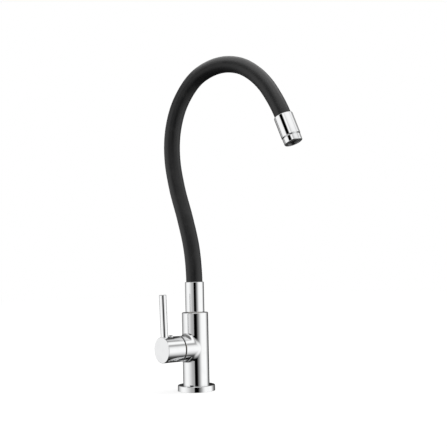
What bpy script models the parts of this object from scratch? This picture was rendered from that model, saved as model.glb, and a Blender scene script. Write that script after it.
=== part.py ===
"""Deck-mounted kitchen faucet with a side pin lever and a flexible black hose spout.

Metres, +Z up. The origin is the middle of the underside, on the deck. The lever barrel
points along -X, the user stands towards -Y, and the spout is swung towards +X.
"""
import math

import bmesh
import bpy
import numpy as np
from mathutils import Vector

# Clearances shared by all pieces
FIT = 0.0003
SLIDE_FIT = 0.0001
CUT = 0.002
WELD = 0.00001

# Body, its side boss and the holes in them
BODY_R = 0.0179
BODY_HEIGHT = 0.1061
BODY_EDGE = 0.0005
BOSS_R = 0.0172
BOSS_REACH = 0.0258
SOCKET_R = 0.0100
SOCKET_WEB = 0.0018
CHAMBER_DEPTH = 0.0080
WATERWAY_R = 0.0030
OUTLET_WAY_OFFSET = 0.0068
INLET_R = 0.0050
INLET_DEPTH = 0.0140
INLET_X = 0.0042
INLET_Y = 0.0080
STUD_R = 0.0040
STUD_DEPTH = 0.0120
STUD_X = -0.0042
STUD_Y = -0.0085

# Base flange, its seals and the inlet strainer
FLANGE_TOP = 0.0077
FLANGE_ROUND = 0.0016
FLANGE_RIM = 0.00185
GASKET_LAND = 0.0013
GASKET_WIDTH = 0.0034
GASKET_THICKNESS = 0.0019
FLANGE_RING_SECTION = 0.0006
FLANGE_RING_Z = 0.0045
STRAINER_THICKNESS = 0.0012
STRAINER_DOME = 0.0030
STRAINER_HOLE_R = 0.0006
STRAINER_HOLES = 6

# Quarter-turn valve, outwards from its seat deep in the boss
VALVE_DEPTH = 0.0258
SEAT_LAND = 0.0014
SEAL_THICKNESS = 0.0015
SEAL_WIDTH = 0.0022
DISC_R = 0.0084
DISC_THICKNESS = 0.0030
PORT_IN_R = 0.0028
PORT_LAND = 0.0020
PORT_ANGLE = 68.0
DRIVER_PLAY = 0.0005
DRIVER_THICKNESS = 0.0030
DOG_WIDTH = 0.0018
DOG_DEPTH = 0.0010
THRUST_THICKNESS = 0.0010
HOUSING_WALL = 0.0015
HOUSING_SHOULDER = 0.0030
WINDOW_WIDTH = 0.0080
ANNULUS_GAP = 0.0018
HEAD_SEAT_DEPTH = 0.0068
HEAD_THICKNESS = 0.0042
HEX_RISE = 0.0030
HEX_PLAY = 0.0006
NECK_WALL = 0.0028
NECK_LENGTH = 0.0056
HEAD_RING_SECTION = 0.0006
SPINDLE_R = 0.0040
SPINDLE_GROOVE = 0.0011
SPINDLE_RING_WIDTH = 0.0016
SPINDLE_RING_PITCH = 0.0045
CLIP_RISE = 0.0020
CLIP_THICKNESS = 0.0010
CLIP_GAP = 0.0040
SPLINE_TEETH = 20
SPLINE_DEPTH = 0.0005
SPLINE_LENGTH = 0.0120
SPLINE_WALL = 0.0024
TOOTH_SHARES = (0.0, 0.25, 0.45, 0.80)

# Lever: barrel, pin and the screw that holds it
LEVER_GAP = 0.0017
BARREL_LENGTH = 0.0289
BARREL_EDGE = 0.0005
SKIRT_WALL = 0.0042
SKIRT_DEPTH = 0.0055
PIN_R = 0.0054
PIN_REACH = 0.0729
PIN_EDGE = 0.0006
PIN_MARGIN = 0.0005
PIN_SINK = 0.0072
PLUG_MARGIN = 0.0002
PLUG_R = 0.0034
PLUG_RISE = 0.0015
PLUG_STEM_R = 0.0024
PLUG_STEM = 0.0016
GRUB_R = 0.0020
GRUB_LENGTH = 0.0050
GRUB_KEY_R = 0.0011
GRUB_KEY_DEPTH = 0.0018

# Spout: azimuth from +X, swivel stem, collar
SPOUT_AZIMUTH = -65.0
COLLAR_WALL = 0.0018
COLLAR_HEIGHT = 0.0424
COLLAR_EDGE = 0.0004
COLLAR_FLOOR = 0.0032
STEM_TOE = 0.0020
STEM_FOOT = 0.0020
STEM_BORE_R = 0.0050
STEM_GROOVE = 0.0015
STEM_SHOULDER = 0.0080
BUSH_WIDTH = 0.0030
SWIVEL_RING_WIDTH = 0.0012
UPPER_BUSH_DEPTH = 0.0040
SWIVEL_PITCH = 0.0049
SLIP_WIDTH = 0.0020
SLIP_THICKNESS = 0.0008

# Hose: black skin, gooseneck core and water tube along one route
HOSE_R = 0.0110
SKIN_WALL = 0.0016
CORE_PLAY = 0.0012
CORE_RIB = 0.0006
CORE_WALL = 0.0013
TUBE_PLAY = 0.0009
TUBE_WALL = 0.0014
NIPPLE_PLAY = 0.0008
NIPPLE_BARB = 0.0003
NIPPLE_LENGTH = 0.0120
NIPPLE_WALL = 0.0012
NIPPLE_BARBS = 3
ARCH_REACH = 0.1370
ARCH_RISE = 0.2952
ARCH_DROP = 0.0775
ARCH_SHARES = (
    (-0.026, 0.156),
    (-0.093, 0.295),
    (-0.176, 0.436),
    (-0.226, 0.579),
    (-0.229, 0.640),
    (-0.210, 0.723),
    (-0.107, 0.857),
    (0.097, 0.963),
    (0.372, 1.000),
    (0.570, 0.981),
    (0.712, 0.938),
    (0.824, 0.883),
    (0.909, 0.821),
)
HOSE_STATIONS = 28
RIBS = 18

# Nozzle, outwards from the sleeve's upper edge along the flow
NOZZLE_TILT = 20.3
SLEEVE_WALL = 0.00125
SLEEVE_EDGE = 0.0004
HOSE_SEAT = 0.0130
ADAPTER_LENGTH = 0.0108
AERATOR_THREAD = 0.0066
AERATOR_GROOVE = 0.0007
AERATOR_INSET = 0.00045
AERATOR_TAPER = 0.0005
AERATOR_LENGTH = 0.0110
AERATOR_LIP = 0.0011
AERATOR_NECK_STEP = 0.0011
AERATOR_WALL = 0.0011
WASHER_THICKNESS = 0.0016
WASHER_WIDTH = 0.0036
LIP_WIDTH = 0.0008
LIP_DEPTH = 0.0012
GRILLE_THICKNESS = 0.0020
GRILLE_RIM = 0.0008
GRILLE_HOLE_R = 0.00110
GRILLE_PITCH = 0.0027
SCREEN_THICKNESS = 0.0008
SCREEN_HOLE_R = 0.0009
SCREEN_HOLES = 8
INSERT_WALL = 0.0012
INSERT_ROOF = 0.0014
JET_R = 0.0007
JETS = 10

# Facets around turned pieces
WIDE_STEPS = 36
MID_STEPS = 16
FINE_STEPS = 12
RING_STEPS = 6
HOLE_STEPS = 6

# Sizes that follow from the sizes above
GASKET_R = BODY_R + GASKET_LAND + GASKET_WIDTH / 2 + 2 * FIT
FLANGE_R = GASKET_R + GASKET_WIDTH / 2 + FIT + FLANGE_RIM
CHAMBER_R = DISC_R - SEAT_LAND
PORT_OUT_R = DISC_R - PORT_LAND
DRIVER_R = DISC_R - DRIVER_PLAY
HOUSING_R = DISC_R + FIT + HOUSING_WALL
ANNULUS_R = HOUSING_R + FIT + ANNULUS_GAP
HEX_R = HOUSING_R + HEX_RISE
COUNTERBORE_R = HEX_R + HEX_PLAY
NECK_R = SPINDLE_R + NECK_WALL
CLIP_R = SPINDLE_R + CLIP_RISE
SPLINE_R = SPINDLE_R - SLIDE_FIT
INSERT_R = SPLINE_R + FIT + SPLINE_WALL
BARREL_R = BOSS_R
SKIRT_R = BARREL_R - SKIRT_WALL
STEM_R = SOCKET_R - FIT
STEM_GROOVE_R = STEM_R - STEM_GROOVE
COLLAR_R = HOSE_R + FIT + COLLAR_WALL
CORE_R = HOSE_R - SKIN_WALL - CORE_PLAY
CORE_BORE_R = CORE_R - CORE_WALL
TUBE_R = CORE_BORE_R - TUBE_PLAY
TUBE_BORE_R = TUBE_R - TUBE_WALL
NIPPLE_R = TUBE_BORE_R - NIPPLE_PLAY
NIPPLE_BORE_R = NIPPLE_R - NIPPLE_WALL
SLEEVE_R = HOSE_R + FIT + SLEEVE_WALL
AERATOR_R = SLEEVE_R - AERATOR_INSET
AERATOR_NECK_R = HOSE_R - AERATOR_NECK_STEP
AERATOR_BORE_R = AERATOR_NECK_R - AERATOR_WALL
CARTRIDGE_R = AERATOR_BORE_R - FIT

# Heights of the swivel and the lever's axis, down from the body's top
RETAINER_DEPTH = UPPER_BUSH_DEPTH + SWIVEL_PITCH
UPPER_RING_DEPTH = RETAINER_DEPTH + SWIVEL_PITCH
LOWER_RING_DEPTH = UPPER_RING_DEPTH + SWIVEL_PITCH
LOWER_BUSH_DEPTH = LOWER_RING_DEPTH + SWIVEL_PITCH
STEM_BOTTOM = BODY_HEIGHT - LOWER_BUSH_DEPTH - BUSH_WIDTH / 2 - STEM_FOOT
SOCKET_FLOOR = STEM_BOTTOM - STEM_TOE
LEVER_AXIS_Z = SOCKET_FLOOR - SOCKET_WEB - BOSS_R
COLLAR_BOTTOM = BODY_HEIGHT + FIT
COLLAR_TOP = COLLAR_BOTTOM + COLLAR_HEIGHT
STEM_SHOULDER_Z = COLLAR_BOTTOM + COLLAR_FLOOR + FIT
HOSE_FOOT = STEM_SHOULDER_Z + STEM_SHOULDER + FIT

# Places along the lever's axis, outwards from the body's axis
VALVE_SEAT = BOSS_REACH - VALVE_DEPTH
DISC_1 = VALVE_SEAT + SEAL_THICKNESS + 2 * FIT
DISC_2 = DISC_1 + DISC_THICKNESS + SLIDE_FIT
DRIVER = DISC_2 + DISC_THICKNESS + SLIDE_FIT
THRUST = DRIVER + DRIVER_THICKNESS + FIT
SHOULDER = THRUST + THRUST_THICKNESS + FIT
HEAD_SEAT = BOSS_REACH - HEAD_SEAT_DEPTH
HEAD_IN = HEAD_SEAT + 2 * (HEAD_RING_SECTION + SLIDE_FIT)
HEAD_OUT = HEAD_IN + HEAD_THICKNESS
NECK_END = HEAD_OUT + NECK_LENGTH
CLIP = NECK_END + FIT
BARREL_IN = BOSS_REACH + LEVER_GAP
FACE = BARREL_IN + BARREL_LENGTH
PIN_PLACE = FACE - PIN_R - PIN_MARGIN
PLUG_PLACE = PIN_PLACE - PIN_R - PLUG_R - PLUG_MARGIN
INSERT_IN = BARREL_IN + SKIRT_DEPTH
INSERT_OUT = INSERT_IN + SPLINE_LENGTH

# Places along the nozzle, from the sleeve's upper edge
SLEEVE_SEAT = HOSE_SEAT + ADAPTER_LENGTH + 2 * FIT
SLEEVE_LENGTH = SLEEVE_SEAT + AERATOR_THREAD
WASHER_IN = SLEEVE_SEAT + FIT
AERATOR_IN = WASHER_IN + WASHER_THICKNESS + FIT
AERATOR_RING = SLEEVE_LENGTH + AERATOR_GROOVE
AERATOR_END = AERATOR_RING + AERATOR_LENGTH
GRILLE_IN = AERATOR_END - LIP_DEPTH - FIT - GRILLE_THICKNESS


def start_scene():
    """Empty the scene and make one collection for the pieces and one for the cutters."""
    for old in list(bpy.data.objects):
        bpy.data.objects.remove(old, do_unlink=True)
    made = []
    for name in ("kitchen_faucet", "cutters"):
        collection = bpy.data.collections.new(name)
        bpy.context.scene.collection.children.link(collection)
        made.append(collection)
    return made


PIECES, CUTTERS = start_scene()


def frame_at(name, location, rotation, parent=None):
    """Empty that pieces are placed on."""
    empty = bpy.data.objects.new(name, None)
    empty.empty_display_size = BODY_R
    empty.location = location
    empty.rotation_euler = rotation
    empty.parent = parent
    PIECES.objects.link(empty)
    return empty


def finish(name, colour, metallic, roughness):
    """Principled material of one piece."""
    material = bpy.data.materials.new(name)
    material.use_nodes = True
    shader = material.node_tree.nodes["Principled BSDF"]
    shader.inputs["Base Color"].default_value = (*colour, 1.0)
    shader.inputs["Metallic"].default_value = metallic
    shader.inputs["Roughness"].default_value = roughness
    material.diffuse_color = (*colour, 1.0)
    return material


def chrome(name):
    return finish(name, (0.78, 0.79, 0.80), 1.0, 0.08)


def brass(name):
    return finish(name, (0.72, 0.55, 0.28), 1.0, 0.30)


def steel(name):
    return finish(name, (0.60, 0.60, 0.61), 1.0, 0.30)


def rubber(name):
    return finish(name, (0.03, 0.03, 0.03), 0.0, 0.70)


def ceramic(name):
    return finish(name, (0.86, 0.85, 0.82), 0.0, 0.20)


def pale_plastic(name):
    return finish(name, (0.82, 0.82, 0.80), 0.0, 0.45)


def black_plastic(name):
    return finish(name, (0.05, 0.05, 0.05), 0.0, 0.45)


def silicone(name):
    return finish(name, (0.025, 0.025, 0.027), 0.0, 0.42)


def add_piece(obj, paint, parent=None, location=(0, 0, 0), rotation=(0, 0, 0)):
    """Put a finished piece in its collection, on its frame, in its own material."""
    obj.data.materials.append(paint(obj.name))
    obj.parent = parent
    obj.location = location
    obj.rotation_euler = rotation
    PIECES.objects.link(obj)
    return obj


def add_cutter(obj, parent=None, location=(0, 0, 0), rotation=(0, 0, 0)):
    """Keep a cutter or a joined shape out of sight, on the frame of the piece it shapes."""
    obj.parent = parent
    obj.location = location
    obj.rotation_euler = rotation
    obj.display_type = "WIRE"
    obj.hide_render = True
    CUTTERS.objects.link(obj)
    return obj


def shape_with(obj, tool, operation):
    """Boolean modifier on a piece."""
    modifier = obj.modifiers.new(operation.lower(), "BOOLEAN")
    modifier.operation = operation
    modifier.solver = "EXACT"
    modifier.object = tool
    return obj


def turned(name, profile, steps):
    """Turn a profile of (radius, height) pairs about Z; it runs down its outer side.

    A profile with both ends off the axis is closed into a ring.
    """
    mesh = bpy.data.meshes.new(name)
    points = [(radius, 0.0, height) for radius, height in profile]
    edges = [(i, i + 1) for i in range(len(points) - 1)]
    if profile[0][0] > 0 and profile[-1][0] > 0:
        edges.append((len(points) - 1, 0))
    mesh.from_pydata(points, edges, [])
    obj = bpy.data.objects.new(name, mesh)
    screw = obj.modifiers.new("turn", "SCREW")
    screw.steps = steps
    screw.render_steps = steps
    screw.use_merge_vertices = True
    screw.merge_threshold = WELD
    screw.use_smooth_shade = True
    return obj


def rod(name, radius, low, high, steps):
    """Plain round solid between two heights."""
    return turned(name, [(0, high), (radius, high), (radius, low), (0, low)], steps)


def ring(name, outer, inner, low, high, steps):
    """Plain flat ring between two heights."""
    return turned(name, [(outer, high), (outer, low), (inner, low), (inner, high)], steps)


def prism(name, radius, low, high, sides):
    """Regular prism between two heights, such as a hexagon."""
    mesh = bpy.data.meshes.new(name)
    shape = bmesh.new()
    bmesh.ops.create_cone(shape, cap_ends=True, segments=sides, radius1=radius,
                          radius2=radius, depth=high - low)
    bmesh.ops.translate(shape, verts=shape.verts, vec=(0, 0, (low + high) / 2))
    shape.to_mesh(mesh)
    shape.free()
    return bpy.data.objects.new(name, mesh)


def block(name, size, centre):
    """Box of a size about a centre."""
    mesh = bpy.data.meshes.new(name)
    shape = bmesh.new()
    bmesh.ops.create_cube(shape, size=1.0)
    bmesh.ops.scale(shape, verts=shape.verts, vec=size)
    bmesh.ops.translate(shape, verts=shape.verts, vec=centre)
    shape.to_mesh(mesh)
    shape.free()
    return bpy.data.objects.new(name, mesh)


def o_ring(name, radius, section, height, steps):
    """Round-section seal ring about Z."""
    profile = []
    for i in range(RING_STEPS):
        angle = math.pi / 2 - 2 * math.pi * i / RING_STEPS
        profile.append((radius + section * math.cos(angle), height + section * math.sin(angle)))
    return turned(name, profile, steps)


def as_mesh(curve_object):
    """Mesh copy of a curve with its caps welded; the curve is removed."""
    bpy.context.scene.collection.objects.link(curve_object)
    bpy.context.view_layer.update()
    graph = bpy.context.evaluated_depsgraph_get()
    mesh = bpy.data.meshes.new_from_object(curve_object.evaluated_get(graph))
    shape = bmesh.new()
    shape.from_mesh(mesh)
    bmesh.ops.remove_doubles(shape, verts=shape.verts, dist=WELD)
    bmesh.ops.recalc_face_normals(shape, faces=shape.faces)
    shape.to_mesh(mesh)
    shape.free()
    obj = bpy.data.objects.new("welded", mesh)
    obj.matrix_world = curve_object.matrix_world
    name = curve_object.name
    bpy.data.objects.remove(curve_object, do_unlink=True)
    obj.name = name
    return obj


def plate(name, outlines, low, high):
    """Flat outlines about Z, given their thickness between two heights."""
    curve = bpy.data.curves.new(name, "CURVE")
    curve.dimensions = "2D"
    curve.fill_mode = "BOTH"
    curve.extrude = (high - low) / 2
    for outline in outlines:
        spline = curve.splines.new("POLY")
        spline.points.add(len(outline) - 1)
        for point, (x, y) in zip(spline.points, outline):
            point.co = (x, y, 0, 1)
        spline.use_cyclic_u = True
    flat = bpy.data.objects.new(name, curve)
    flat.location = (0, 0, (low + high) / 2)
    mesh_object = as_mesh(flat)
    mesh_object.data.transform(mesh_object.matrix_world)
    return mesh_object


def tube(name, points, radii, resolution):
    """Solid tube through points, with a radius at each."""
    curve = bpy.data.curves.new(name, "CURVE")
    curve.dimensions = "3D"
    curve.bevel_depth = max(radii)
    curve.bevel_resolution = resolution
    curve.use_fill_caps = True
    spline = curve.splines.new("POLY")
    spline.points.add(len(points) - 1)
    for point, place, radius in zip(spline.points, points, radii):
        point.co = (*place, 1)
        point.radius = radius / max(radii)
    return as_mesh(bpy.data.objects.new(name, curve))


def sector(inner, outer, middle, spread):
    """Outline of a ring sector, angles in degrees."""
    angles = [math.radians(middle + spread * (i / 8 - 0.5)) for i in range(9)]
    outside = [(outer * math.cos(a), outer * math.sin(a)) for a in angles]
    inside = [(inner * math.cos(a), inner * math.sin(a)) for a in reversed(angles)]
    return outside + inside


def toothed(tip, root, teeth):
    """Outline of a spline shaft with straight-sided teeth."""
    outline = []
    for i in range(teeth):
        for tooth_share, radius in zip(TOOTH_SHARES, (root, root, tip, tip)):
            angle = 2 * math.pi * (i + tooth_share) / teeth
            outline.append((radius * math.cos(angle), radius * math.sin(angle)))
    return outline


def grooved(radius, top, bottom, grooves):
    """Side of a shaft from top to bottom with square grooves (middle, width, floor radius)."""
    side = [(radius, top)]
    for middle, width, floor in sorted(grooves, reverse=True):
        high = middle + width / 2
        low = middle - width / 2
        side += [(radius, high), (floor, high), (floor, low), (radius, low)]
    side.append((radius, bottom))
    return side


def barbed(base, length, outwards):
    """Side of a hose nipple from its tip to its base, with saw-tooth barbs.

    outwards is 1 for a nipple whose tip lies above its base, -1 for one below it.
    """
    side = []
    pitch = length / (NIPPLE_BARBS + 1)
    for i in range(NIPPLE_BARBS):
        tip = base + outwards * (length - i * pitch)
        side += [(NIPPLE_R - NIPPLE_BARB, tip), (NIPPLE_R, tip - outwards * pitch)]
    side.append((NIPPLE_R - NIPPLE_BARB, base + outwards * pitch))
    side.append((NIPPLE_R - NIPPLE_BARB, base))
    return side


def rounded(radius, height, fillet, steps):
    """Quarter-round outer edge at the top of a turned piece."""
    points = []
    for i in range(steps + 1):
        angle = math.pi / 2 * (1 - i / steps)
        points.append((radius - fillet + fillet * math.cos(angle),
                       height - fillet + fillet * math.sin(angle)))
    return points


def smooth_route(own_points, count):
    """Evenly spaced points on a smooth curve through the route's own points."""
    own = np.array(own_points)
    chords = np.linalg.norm(np.diff(own, axis=0), axis=1)
    knots = np.concatenate([[0.0], np.cumsum(chords)])
    slopes = np.gradient(own, knots, axis=0)
    fine = []
    for i, chord in enumerate(chords):
        t = np.linspace(0, 1, 24, endpoint=False)[:, None]
        fine.append((2 * t**3 - 3 * t**2 + 1) * own[i] + (t**3 - 2 * t**2 + t) * chord * slopes[i]
                    + (3 * t**2 - 2 * t**3) * own[i + 1] + (t**3 - t**2) * chord * slopes[i + 1])
    fine = np.vstack(fine + [own[-1:]])
    walked = np.concatenate([[0.0], np.cumsum(np.linalg.norm(np.diff(fine, axis=0), axis=1))])
    even = np.linspace(0, walked[-1], count)
    return [Vector((np.interp(s, walked, fine[:, 0]), 0, np.interp(s, walked, fine[:, 1])))
            for s in even]


def nozzle_axis():
    """Start of the nozzle in the spout's plane and its direction of flow."""
    tilt = math.radians(NOZZLE_TILT)
    start = np.array((ARCH_REACH, COLLAR_TOP + ARCH_RISE - ARCH_DROP))
    return start, np.array((math.sin(tilt), -math.cos(tilt)))


def hose_points(count):
    """Route of the hose, from its foot in the collar to its seat in the nozzle."""
    start, flow = nozzle_axis()
    middle_of_collar = (HOSE_FOOT + COLLAR_TOP) / 2
    own = [(0, HOSE_FOOT), (0, middle_of_collar), (0, COLLAR_TOP)]
    own += [(x * ARCH_REACH, COLLAR_TOP + z * ARCH_RISE) for x, z in ARCH_SHARES]
    own += [tuple(start), tuple(start + flow * HOSE_SEAT)]
    return smooth_route(own, count)


BODY_FRAME = frame_at("body_frame", (0, 0, 0), (0, 0, 0))
VALVE_FRAME = frame_at("valve_frame", (0, 0, LEVER_AXIS_Z), (0, -math.pi / 2, 0))
LEVER_PIVOT = frame_at("lever_pivot", (0, 0, LEVER_AXIS_Z), (0, -math.pi / 2, 0))
SPOUT_PIVOT = frame_at("spout_pivot", (0, 0, 0), (0, 0, math.radians(SPOUT_AZIMUTH)))
NOZZLE_START = nozzle_axis()[0]
NOZZLE_FRAME = frame_at("nozzle_frame", (NOZZLE_START[0], 0, NOZZLE_START[1]),
                        (0, math.pi - math.radians(NOZZLE_TILT), 0), SPOUT_PIVOT)
ALONG_X = (0, math.pi / 2, 0)
ALONG_Y = (-math.pi / 2, 0, 0)


def faucet_body():
    """Upright body with its side boss, spout socket, valve bore, waterways and holes."""
    slip_wall = SOCKET_R + 2 * FIT + SLIP_WIDTH + FIT
    slip_floor = BODY_HEIGHT - SLIP_THICKNESS - FIT
    body = turned("faucet_body", [
        (0, SOCKET_FLOOR), (SOCKET_R, SOCKET_FLOOR), (SOCKET_R, slip_floor),
        (slip_wall, slip_floor), (slip_wall, BODY_HEIGHT), (BODY_R - BODY_EDGE, BODY_HEIGHT),
        (BODY_R, BODY_HEIGHT - BODY_EDGE), (BODY_R, 0), (0, 0)], WIDE_STEPS)
    add_piece(body, chrome, BODY_FRAME)
    boss = turned("boss", [
        (0, BOSS_REACH), (BOSS_R - BODY_EDGE, BOSS_REACH), (BOSS_R, BOSS_REACH - BODY_EDGE),
        (BOSS_R, 0), (0, 0)], WIDE_STEPS)
    shape_with(body, add_cutter(boss, VALVE_FRAME), "UNION")
    bore_r = HOUSING_R + FIT
    way_in = DISC_2 + DISC_THICKNESS
    way_out = SHOULDER + HOUSING_SHOULDER / 2
    valve_bore = turned("valve_bore", [
        (0, BOSS_REACH + CUT), (COUNTERBORE_R, BOSS_REACH + CUT), (COUNTERBORE_R, HEAD_SEAT),
        (bore_r, HEAD_SEAT), (bore_r, way_out), (ANNULUS_R, way_out), (ANNULUS_R, way_in - CUT),
        (bore_r, way_in - CUT), (bore_r, VALVE_SEAT), (CHAMBER_R, VALVE_SEAT),
        (CHAMBER_R, VALVE_SEAT - CHAMBER_DEPTH), (0, VALVE_SEAT - CHAMBER_DEPTH)], MID_STEPS)
    shape_with(body, add_cutter(valve_bore, VALVE_FRAME), "DIFFERENCE")
    inlet = turned("inlet_bore", [
        (0, LEVER_AXIS_Z), (WATERWAY_R, LEVER_AXIS_Z), (WATERWAY_R, INLET_DEPTH),
        (INLET_R, INLET_DEPTH), (INLET_R, -CUT), (0, -CUT)], FINE_STEPS)
    shape_with(body, add_cutter(inlet, BODY_FRAME, (INLET_X, INLET_Y, 0)), "DIFFERENCE")
    stud = rod("stud_bore", STUD_R, -CUT, STUD_DEPTH, FINE_STEPS)
    shape_with(body, add_cutter(stud, BODY_FRAME, (STUD_X, STUD_Y, 0)), "DIFFERENCE")
    outlet = rod("outlet_way", WATERWAY_R, LEVER_AXIS_Z + HOUSING_R, SOCKET_FLOOR + CUT,
                 FINE_STEPS)
    place = (-VALVE_SEAT - OUTLET_WAY_OFFSET, 0, 0)
    shape_with(body, add_cutter(outlet, BODY_FRAME, place), "DIFFERENCE")
    screw_hole = rod("retainer_hole", GRUB_R + FIT, SOCKET_R - CUT, BODY_R + CUT, FINE_STEPS)
    place = (0, 0, BODY_HEIGHT - RETAINER_DEPTH)
    shape_with(body, add_cutter(screw_hole, BODY_FRAME, place, ALONG_Y), "DIFFERENCE")


def base_flange():
    """Round foot with a soft upper edge, a seal groove in its bore and a gasket groove."""
    bore = BODY_R + FIT
    groove_r = bore + 2 * FLANGE_RING_SECTION
    groove_low = FLANGE_RING_Z - FLANGE_RING_SECTION - FIT
    groove_high = FLANGE_RING_Z + FLANGE_RING_SECTION + FIT
    gasket_in = GASKET_R - GASKET_WIDTH / 2 - FIT
    gasket_out = GASKET_R + GASKET_WIDTH / 2 + FIT
    gasket_top = GASKET_THICKNESS + FIT
    profile = rounded(FLANGE_R, FLANGE_TOP, FLANGE_ROUND, 3)
    profile += [(FLANGE_R, 0), (gasket_out, 0), (gasket_out, gasket_top),
                (gasket_in, gasket_top), (gasket_in, 0), (bore, 0), (bore, groove_low),
                (groove_r, groove_low), (groove_r, groove_high), (bore, groove_high),
                (bore, FLANGE_TOP)]
    add_piece(turned("base_flange", profile, WIDE_STEPS), chrome, BODY_FRAME)


def base_seals():
    """Flat deck gasket, and the ring that seals the flange to the body."""
    gasket = ring("base_gasket", GASKET_R + GASKET_WIDTH / 2, GASKET_R - GASKET_WIDTH / 2, 0,
                  GASKET_THICKNESS, WIDE_STEPS)
    add_piece(gasket, rubber, BODY_FRAME)
    seal_r = BODY_R + FIT + FLANGE_RING_SECTION
    seal = o_ring("flange_o_ring", seal_r, FLANGE_RING_SECTION, FLANGE_RING_Z, WIDE_STEPS)
    add_piece(seal, rubber, BODY_FRAME)


def inlet_strainer():
    """Domed strainer pressed against the end of the inlet bore, with a ring of holes."""
    rim = INLET_R - FIT
    top = INLET_DEPTH - FIT
    low = top - STRAINER_THICKNESS
    cup_r = WATERWAY_R + FIT
    strainer = turned("inlet_strainer", [
        (0, low - STRAINER_DOME + STRAINER_THICKNESS), (cup_r - STRAINER_THICKNESS, low),
        (cup_r, top), (rim, top), (rim, low), (cup_r, low),
        (cup_r - STRAINER_THICKNESS, low - STRAINER_DOME + STRAINER_THICKNESS),
        (0, low - STRAINER_DOME)], FINE_STEPS)
    add_piece(strainer, pale_plastic, BODY_FRAME, (INLET_X, INLET_Y, 0))
    for i in range(STRAINER_HOLES):
        angle = 2 * math.pi * i / STRAINER_HOLES
        place = (INLET_X + cup_r / 2 * math.cos(angle), INLET_Y + cup_r / 2 * math.sin(angle), 0)
        hole = rod("strainer_hole_%d" % i, STRAINER_HOLE_R, 0, INLET_DEPTH, FINE_STEPS)
        shape_with(strainer, add_cutter(hole, BODY_FRAME, place), "DIFFERENCE")


def slip_ring():
    """Low-friction ring between the body's top and the turning collar."""
    inner = SOCKET_R + 2 * FIT
    low = BODY_HEIGHT - SLIP_THICKNESS
    slip = ring("slip_ring", inner + SLIP_WIDTH, inner, low, BODY_HEIGHT, MID_STEPS)
    add_piece(slip, pale_plastic, BODY_FRAME)


def grub_screw(name, parent, low, location, rotation):
    """Headless screw with a hexagon socket in its outer end."""
    high = low + GRUB_LENGTH
    screw = turned(name, [
        (0, high), (GRUB_R, high), (GRUB_R, low + GRUB_R / 2), (GRUB_R / 2, low), (0, low)],
        FINE_STEPS)
    add_piece(screw, steel, parent, location, rotation)
    key = prism(name + "_key", GRUB_KEY_R, high - GRUB_KEY_DEPTH, high + CUT, 6)
    shape_with(screw, add_cutter(key, parent, location, rotation), "DIFFERENCE")


def spout_retaining_screw():
    """Screw at the body's rear whose point runs in the stem's groove."""
    place = (0, 0, BODY_HEIGHT - RETAINER_DEPTH)
    grub_screw("spout_retaining_screw", BODY_FRAME, STEM_GROOVE_R + FIT, place, ALONG_Y)


def headwork_housing():
    """Brass cartridge shell: hexagon head, disc chamber, outlet windows and spindle neck."""
    chamber = DISC_R + FIT
    housing = turned("headwork_housing", [
        (NECK_R, NECK_END), (NECK_R, HEAD_OUT), (HOUSING_R, HEAD_OUT), (HOUSING_R, DISC_1),
        (chamber, DISC_1), (chamber, SHOULDER), (SPINDLE_R + SLIDE_FIT, SHOULDER),
        (SPINDLE_R + SLIDE_FIT, NECK_END)], MID_STEPS)
    add_piece(housing, brass, VALVE_FRAME)
    head = prism("hex_head", HEX_R, HEAD_IN, HEAD_OUT, 6)
    core = rod("hex_core", (HOUSING_R + chamber) / 2, HEAD_IN - CUT, HEAD_OUT + CUT, MID_STEPS)
    shape_with(head, add_cutter(core, VALVE_FRAME), "DIFFERENCE")
    shape_with(housing, add_cutter(head, VALVE_FRAME), "UNION")
    window = DRIVER_THICKNESS + FIT
    through = block("windows", (WINDOW_WIDTH, 2 * ANNULUS_R, window),
                    (0, 0, DRIVER + window / 2))
    guard = rod("window_guard", chamber - FIT, VALVE_SEAT, SHOULDER, MID_STEPS)
    shape_with(through, add_cutter(guard, VALVE_FRAME), "DIFFERENCE")
    shape_with(housing, add_cutter(through, VALVE_FRAME), "DIFFERENCE")


def headwork_seals():
    """Seat seal behind the fixed disc, and the ring under the hexagon head."""
    seat_low = VALVE_SEAT + FIT
    seat = ring("disc_seat_seal", DISC_R, DISC_R - SEAL_WIDTH + FIT, seat_low,
                seat_low + SEAL_THICKNESS, MID_STEPS)
    add_piece(seat, rubber, VALVE_FRAME)
    head_r = HOUSING_R + SLIDE_FIT + HEAD_RING_SECTION
    height = HEAD_SEAT + SLIDE_FIT + HEAD_RING_SECTION
    head = o_ring("headwork_o_ring", head_r, HEAD_RING_SECTION, height, MID_STEPS)
    add_piece(head, rubber, VALVE_FRAME)


def ceramic_disc(name, parent, low, first_port):
    """Ceramic disc with two opposite sector ports."""
    disc = rod(name, DISC_R, low, low + DISC_THICKNESS, MID_STEPS)
    add_piece(disc, ceramic, parent)
    outlines = [sector(PORT_IN_R, PORT_OUT_R, first_port + half, PORT_ANGLE)
                for half in (0.0, 180.0)]
    ports = plate(name + "_ports", outlines, low - CUT, low + DISC_THICKNESS + CUT)
    shape_with(disc, add_cutter(ports, parent), "DIFFERENCE")
    return disc


def ceramic_discs():
    """Fixed disc in the housing, and the moving one with a slot for the spindle's dog."""
    ceramic_disc("fixed_ceramic_disc", VALVE_FRAME, DISC_1, 0.0)
    moving = ceramic_disc("moving_ceramic_disc", LEVER_PIVOT, DISC_2, 90.0)
    depth = DOG_DEPTH + FIT
    size = (2 * (DISC_R + CUT), DOG_WIDTH + 2 * FIT, 2 * depth)
    slot = block("dog_slot", size, (0, 0, DISC_2 + DISC_THICKNESS))
    shape_with(moving, add_cutter(slot, LEVER_PIVOT), "DIFFERENCE")


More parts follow.
